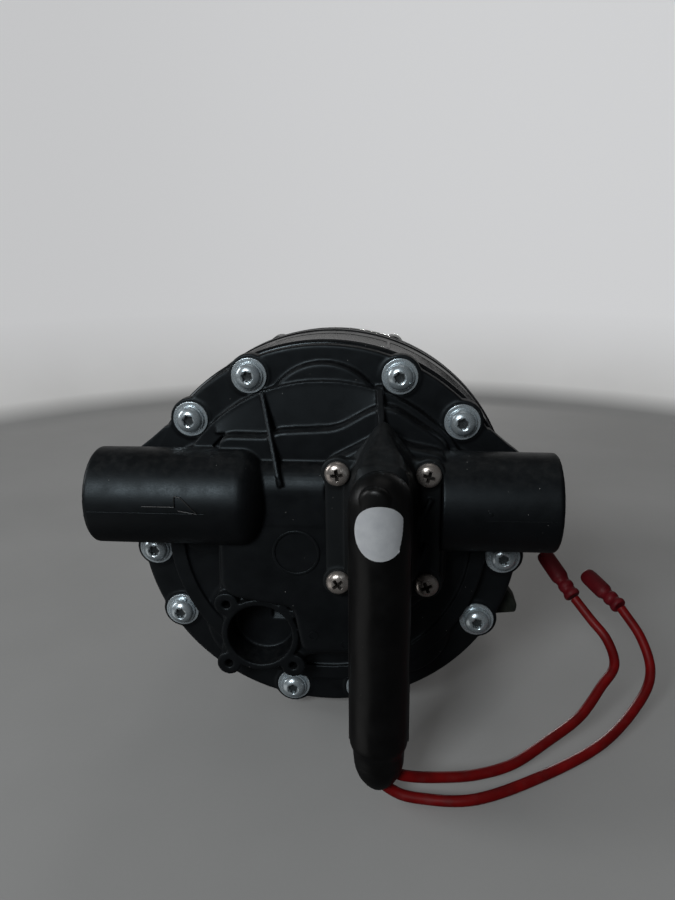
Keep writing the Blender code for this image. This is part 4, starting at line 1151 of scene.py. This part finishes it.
def build_motor():
    """Painted can with a rolled shoulder and pressed dimples, and its ribbed end bell."""
    front, back, outer = CAN_FRONT_Y, CAN_BACK_Y, CAN_R
    profile = [
        (16, front), (outer - 4, front), (outer - 0.9, front + 0.9), (outer, front + 4),
        (outer, front + 24), (outer - 0.35, front + 24.8), (outer - 0.35, front + 26.2),
        (outer, front + 27), (outer, back - 9), (outer - 0.5, back - 8.2), (outer - 0.5, back - 6.8),
        (outer, back - 6), (outer, back), (outer - 2, back), (outer - 2, front + 4),
        (outer - 5, front + 2), (16, front + 2),
    ]  # fmt: skip
    can = turned(rounded(profile, 0.6, 3, True), head(0, 0, 0), ALONG_Y, 144, True)
    dimples = []
    for angle in (45, 135, 225, 315):
        for y in (front + 12, back - 20):
            x, z = on_circle(outer + 2.2, angle)
            bm = bmesh.new()
            bmesh.ops.create_uvsphere(bm, u_segments=24, v_segments=16, radius=3.2 * MM)
            ball = from_bmesh(bm)
            ball.location = head(x, y, z)
            dimples.append(ball)
    cut(can, *dimples)
    finished(can, "motor_can_looks", PAINT, "motor_can", smooth=35)
    x, z = on_circle(outer + 0.02, 180)
    seam = swept([head(x, front + 5, z), head(x, back - 0.5, z)], 0.35, 3)
    finished(seam, "motor_can_seam", PAINT)

    face = back + 0.3
    bell_profile = [
        (0, BELL_BACK_Y), (10.6, BELL_BACK_Y), (13, BELL_BACK_Y - 2), (13, face + 6.4), (16, face + 5.6),
        (39, face + 5), (outer - 0.8, face + 3.2), (outer, face + 2), (outer, face), (0, face),
    ]  # fmt: skip
    bell = turned(rounded(bell_profile, 0.7), head(0, 0, 0), ALONG_Y, 128)
    ribs = []
    for index in range(8):
        x, z = on_circle(1, 45 * index + 22.5)
        line = [(10, face + 2), (10, face + 8.6), (36, face + 5.8), (36, face + 2)]
        ribs.append(web([(r * x, y, r * z) for r, y in line], 1.1, (z, 0, -x)))
    caps = [rod(5.4, face + 2, face + 7.6, side * 24, 0, 40, 0.6) for side in (-1, 1)]
    join(bell, *ribs, *caps)
    slots = [block((x - 4, x + 4), (face + 6.5, face + 9), (-0.6, 0.6)) for x in (-24, 24)]
    vents = [rod(2.2, face + 3.2, face + 8, *on_circle(31, 45 * i), 24) for i in range(8) if i % 2]
    cut(bell, *slots, *vents)
    moulded(bell, 0.5, 3, 0.4)
    finished(bell, "rear_end_bell_looks", PAINT, "rear_end_bell", smooth=180)


def bolt_head_mesh():
    """Flanged hexagon head with a screwdriver slot. Local +Z is outwards."""
    hexagon = [(3.9 * math.cos(a), 3.9 * math.sin(a)) for a in (math.radians(60 * i) for i in range(6))]
    top = prism(rounded(hexagon, 0.35, 2, True), 0.5, 3.0)
    flange = turned(disc(4.2, 0, 0.8, 0.2), (0, 0, 0), steps=40)
    slot = prism([(-5, -0.45), (5, -0.45), (5, 0.45), (-5, 0.45)], 1.9, 4)
    return cut(join(bevelled(top, 0.3, 2), flange), slot)


def build_through_bolts():
    names = ["through_bolt_upper", "through_bolt_lower"]
    places = [head(middle(n).x, span(n)[1].y - 3.0, middle(n).z) for n in names]
    copies(bolt_head_mesh(), names, places, [0.4, 1.3], ZINC, ALONG_Y)


# ---------------------------------------------------------------- base


def build_base():
    """Ribbed pad, ear bars, saddles round the can, all one moulding."""
    ear_y = middle("foot_3").y + HEAD_Y
    foot_x = middle("foot_3").x
    base = cuboid((-34, 34), (-30, 30), (0, 9))
    for side in (-1, 1):
        shapes = [
            cuboid((-foot_x, foot_x), (side * ear_y - 9, side * ear_y + 9), (5.1, 8.9)),
            cuboid((-28, 28), (side * 24 - 4.5, side * 24 + 4.5), (6, 33)),
            cuboid((-42, 42), (side * ear_y - 1.2, side * ear_y + 1.2), (6, 10.6)),
        ]
        for x in (-foot_x, foot_x):
            place = Vector((x, side * ear_y, 0)) * MM
            shapes.append(turned(disc(9, 5.1, 8.9, 0.4), place, steps=48))
            shapes.append(turned(disc(7.6, 6, 9.6, 0.4), place, steps=48))
        join(base, *shapes)
    for x in (-24, -12, 0, 12, 24):
        join(base, cuboid((x - 1.1, x + 1.1), (-22, 22), (6, 26)))
    cut(base, rod(CAN_R + 0.25, 40, 200, steps=128))
    pockets = [cuboid((x - 4.4, x + 4.4), (-17, 17), (5.5, 40)) for x in (-18, -6, 6, 18)]
    underside = [cuboid((x - 12, x + 12), (-24, 24), (-1, 2.5)) for x in (-17, 17)]
    cut(base, *pockets, *underside)
    for x in (-foot_x, foot_x):
        for y in (-ear_y, ear_y):
            cut(base, turned(disc(5.2, -5, 15), Vector((x, y, 0)) * MM, steps=40))
    moulded(base, 0.6, 3, 0.4)
    finished(base, "base_plate_looks", HOUSING, "base_plate", smooth=180)


def build_feet():
    """Rubber grommets with a lipped top, a grooved waist and a fluted skirt."""
    low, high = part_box("foot_1")
    bottom, top = low.z / MM, high.z / MM
    profile = [
        (2.6, top - 0.4), (3.2, top), (5.6, top), (7.0, top - 1.2), (7.0, top - 3.1), (5.0, top - 3.3),
        (5.0, 4.6), (8.6, 4.5), (9.4, 3.4), (9.5, 1.5), (9.1, bottom + 0.8), (8.4, bottom),
        (3.4, bottom), (2.6, bottom + 0.6),
    ]  # fmt: skip
    for index in range(1, 5):
        place = (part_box(f"foot_{index}")[0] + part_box(f"foot_{index}")[1]) / 2
        foot = turned(rounded(profile, 0.5, 3, True), (place.x, place.y, 0), steps=72, loop=True)
        for vertex in foot.data.vertices:
            x, y, z = vertex.co / MM
            if z < 4 and math.hypot(x, y) > 7.5:
                flute = 1 - 0.028 * (0.5 + 0.5 * math.cos(12 * math.atan2(y, x)))
                vertex.co.x *= flute
                vertex.co.y *= flute
        finished(foot, f"foot_{index}_looks", RUBBER, f"foot_{index}", smooth=50)


# ---------------------------------------------------------------- inside

SPRING_WIRE_R, SPRING_R, SPRING_TURNS = 0.55, 4.6, 4
WOBBLE_Y, WOBBLE_TILT = 33.0, math.radians(3.5)  # where the cam's tilted axis crosses the pump's
PISTON_CIRCLE_R, PUCK_R, PUCK_BACK_Y = 40, 9, 24.1
SHEET_THICKNESS, SLEEVE_R, SLEEVE_BORE_R = 3.0, 11.4, 10.4


def build_switch_spring():
    """It rides the plunger, coiled round the set screw's axis, and gets a mesh of its own."""
    low, high = span("switch_spring")
    center = middle("pressure_set_screw")
    per_turn = 24
    first, last = high.y - SPRING_WIRE_R, low.y + SPRING_WIRE_R
    points = []
    for i in range(SPRING_TURNS * per_turn + 1):
        angle = 2 * math.pi * i / per_turn
        x, z = center.x + SPRING_R * math.cos(angle), center.z + SPRING_R * math.sin(angle)
        points.append(head(x, first + (last - first) * i / (SPRING_TURNS * per_turn), z))
    spring = swept(points, SPRING_WIRE_R, 3)
    finished(spring, "switch_spring_looks", STEEL, "switch_spring", body="plunger")
    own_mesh(spring)


def build_diaphragm():
    """The clamped sheet has a sleeve round each piston's puck. The pucks ride the wobble plate."""
    front = span("valve_plate")[1].y + 0.3
    back = front + SHEET_THICKNESS
    places = [on_circle(PISTON_CIRCLE_R, angle) for angle in chamber_angles()]
    sheet = rod(span("valve_plate")[1].z, front, back, steps=160, edge=0.3)
    join(sheet, *[rod(SLEEVE_R, front - 1.7, back - 0.5, x, z, 64, 0.4) for x, z in places])
    cut(sheet, *[rod(SLEEVE_BORE_R, front - 3, back + 1, x, z, 64) for x, z in places])
    finished(sheet, "diaphragm_sheet", VALVE_RUBBER, "diaphragm")
    lean = Euler((WOBBLE_TILT, 0, 0)).to_matrix()
    for index, (x, z) in enumerate(places):
        place = head(0, WOBBLE_Y, 0) + lean @ (Vector((x, 0, z)) * MM)
        profile = disc(PUCK_R, front - 0.8 - WOBBLE_Y, PUCK_BACK_Y - WOBBLE_Y, 0.6)
        puck = turned(profile, place, (WOBBLE_TILT - math.pi / 2, 0, 0), 64)
        finished(puck, f"diaphragm_puck_{index + 1}", VALVE_RUBBER, body="wobble")


# ---------------------------------------------------------------- pieces kept from the CAD


def paint_frame():
    """Gives each CAD node that stays its procedural material."""
    finishes = {
        "cover_seal": RUBBER, "switch_diaphragm": RUBBER, "outlet_valve": VALVE_RUBBER,
        "valve_plate": NYLON, "wobble_plate": NYLON,
        "switch_plunger": NYLON, "micro_switch_button": NYLON, "micro_switch": SWITCH_CASE,
        "commutator": COPPER, "magnet_left": FERRITE, "magnet_right": FERRITE,
        "brush_left": CARBON, "brush_right": CARBON,
    }  # fmt: skip
    finishes |= {f"inlet_valve_{i}": VALVE_RUBBER for i in range(1, 6)}
    for name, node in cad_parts.items():
        if not node.hide_render:
            node.data.materials.clear()
            node.data.materials.append(finishes.get(name, STEEL))


# ---------------------------------------------------------------- stage, lights and camera


def build_stage():
    """A round floor that curves up into a wall, all in one pale finish. Only the camera sees it, and
    it blocks no light, so the object is lit by the lamps alone."""
    floor_r, bend, wall_height = 440.0, 90.0, 700.0
    floor = FLOOR_Z / MM
    profile = [(0, floor), (floor_r, floor)]
    for i in range(1, 13):
        angle = math.radians(7.5 * i)
        profile.append((floor_r + bend * math.sin(angle), floor + bend * (1 - math.cos(angle))))
    profile.append((floor_r + bend, floor + wall_height))
    mesh = bpy.data.meshes.new("studio_floor")
    edges = [(i, i + 1) for i in range(len(profile) - 1)]
    mesh.from_pydata([(r * MM, 0, h * MM) for r, h in profile], edges, [])
    obj = add_object(mesh)
    screw = obj.modifiers.new("turn", "SCREW")
    screw.steps = screw.render_steps = 96
    screw.use_merge_vertices = True
    screw.merge_threshold = 1e-6
    bake(obj)
    obj.name = "studio_floor"
    obj.data.materials.append(studio_floor("studio_floor_looks"))
    obj.data.shade_smooth()
    obj.visible_diffuse = obj.visible_glossy = obj.visible_shadow = False


def area_light(name, place, size, power, color):
    """A rectangular lamp aimed at the middle of the head. Place and size are metres."""
    data = bpy.data.lights.new(name, "AREA")
    data.shape = "RECTANGLE"
    data.size, data.size_y = size
    data.energy = power  # watts
    data.color = color
    lamp = bpy.data.objects.new(name, data)
    lamp.location = place
    lamp.rotation_euler = (head(0, 0, 0) - Vector(place)).to_track_quat("-Z", "Y").to_euler()
    bpy.context.scene.collection.objects.link(lamp)


def build_lights():
    area_light("key", (-0.35, -1.02, 0.62), (0.34, 0.34), 5.3, (0.92, 0.97, 1.0))
    area_light("side", (-1.25, -0.15, 0.6), (0.5, 0.7), 4.0, (0.98, 0.99, 1.0))
    area_light("overhead", (0.1, 0.1, 1.3), (0.8, 0.6), 0.5, (1.0, 0.985, 0.96))
    area_light("backdrop", (0.0, 0.95, 0.42), (1.6, 0.6), 1.1, (1.0, 0.99, 0.98))
    area_light("rear", (0.0, 0.95, 0.068), (0.09, 0.09), 1.8, (1.0, 0.99, 0.98))
    area_light("bounce", (-0.5, -0.4, -0.25), (0.5, 0.4), 0.2, (1.0, 0.99, 0.97))
    world = bpy.data.worlds.new("studio")
    bpy.context.scene.world = world
    world.use_nodes = True
    nodes = world.node_tree.nodes
    camera_ray = nodes.new("ShaderNodeLightPath").outputs["Is Camera Ray"]
    strength = nodes.new("ShaderNodeMapRange")
    strength.inputs["To Min"].default_value = 0.035
    strength.inputs["To Max"].default_value = 0.6
    world.node_tree.links.new(camera_ray, strength.inputs["Value"])
    world.node_tree.links.new(strength.outputs[0], nodes["Background"].inputs["Strength"])
    nodes["Background"].inputs["Color"].default_value = (0.9, 0.92, 0.95, 1)


CAMERA_PLACE = (26.2, -241.2, 100.1)  # head coordinates
CAMERA_YAW, CAMERA_PITCH, CAMERA_ROLL = 5.17, -15.86, -0.55  # degrees
CAMERA_LENS, SENSOR_WIDTH = 29.6, 36


def build_camera():
    data = bpy.data.cameras.new("camera")
    data.lens = CAMERA_LENS
    data.sensor_width = SENSOR_WIDTH
    data.clip_start = 0.01
    camera = bpy.data.objects.new("camera", data)
    camera.location = head(*CAMERA_PLACE)
    yaw = Matrix.Rotation(math.radians(CAMERA_YAW), 3, "Z")
    pitch = Matrix.Rotation(math.radians(90 + CAMERA_PITCH), 3, "X")
    roll = Matrix.Rotation(math.radians(CAMERA_ROLL), 3, "Z")
    camera.rotation_euler = (yaw @ pitch @ roll).to_euler()
    bpy.context.scene.collection.objects.link(camera)
    bpy.context.scene.camera = camera


build_head()
build_screws()
build_switch_housing()
build_hood()
build_label()
build_leads()
build_drum()
build_adapter()
build_motor()
build_through_bolts()
build_base()
build_feet()
build_switch_spring()
build_diaphragm()
paint_frame()
build_stage()
build_lights()
build_camera()
bpy.context.scene.view_settings.view_transform = "Standard"
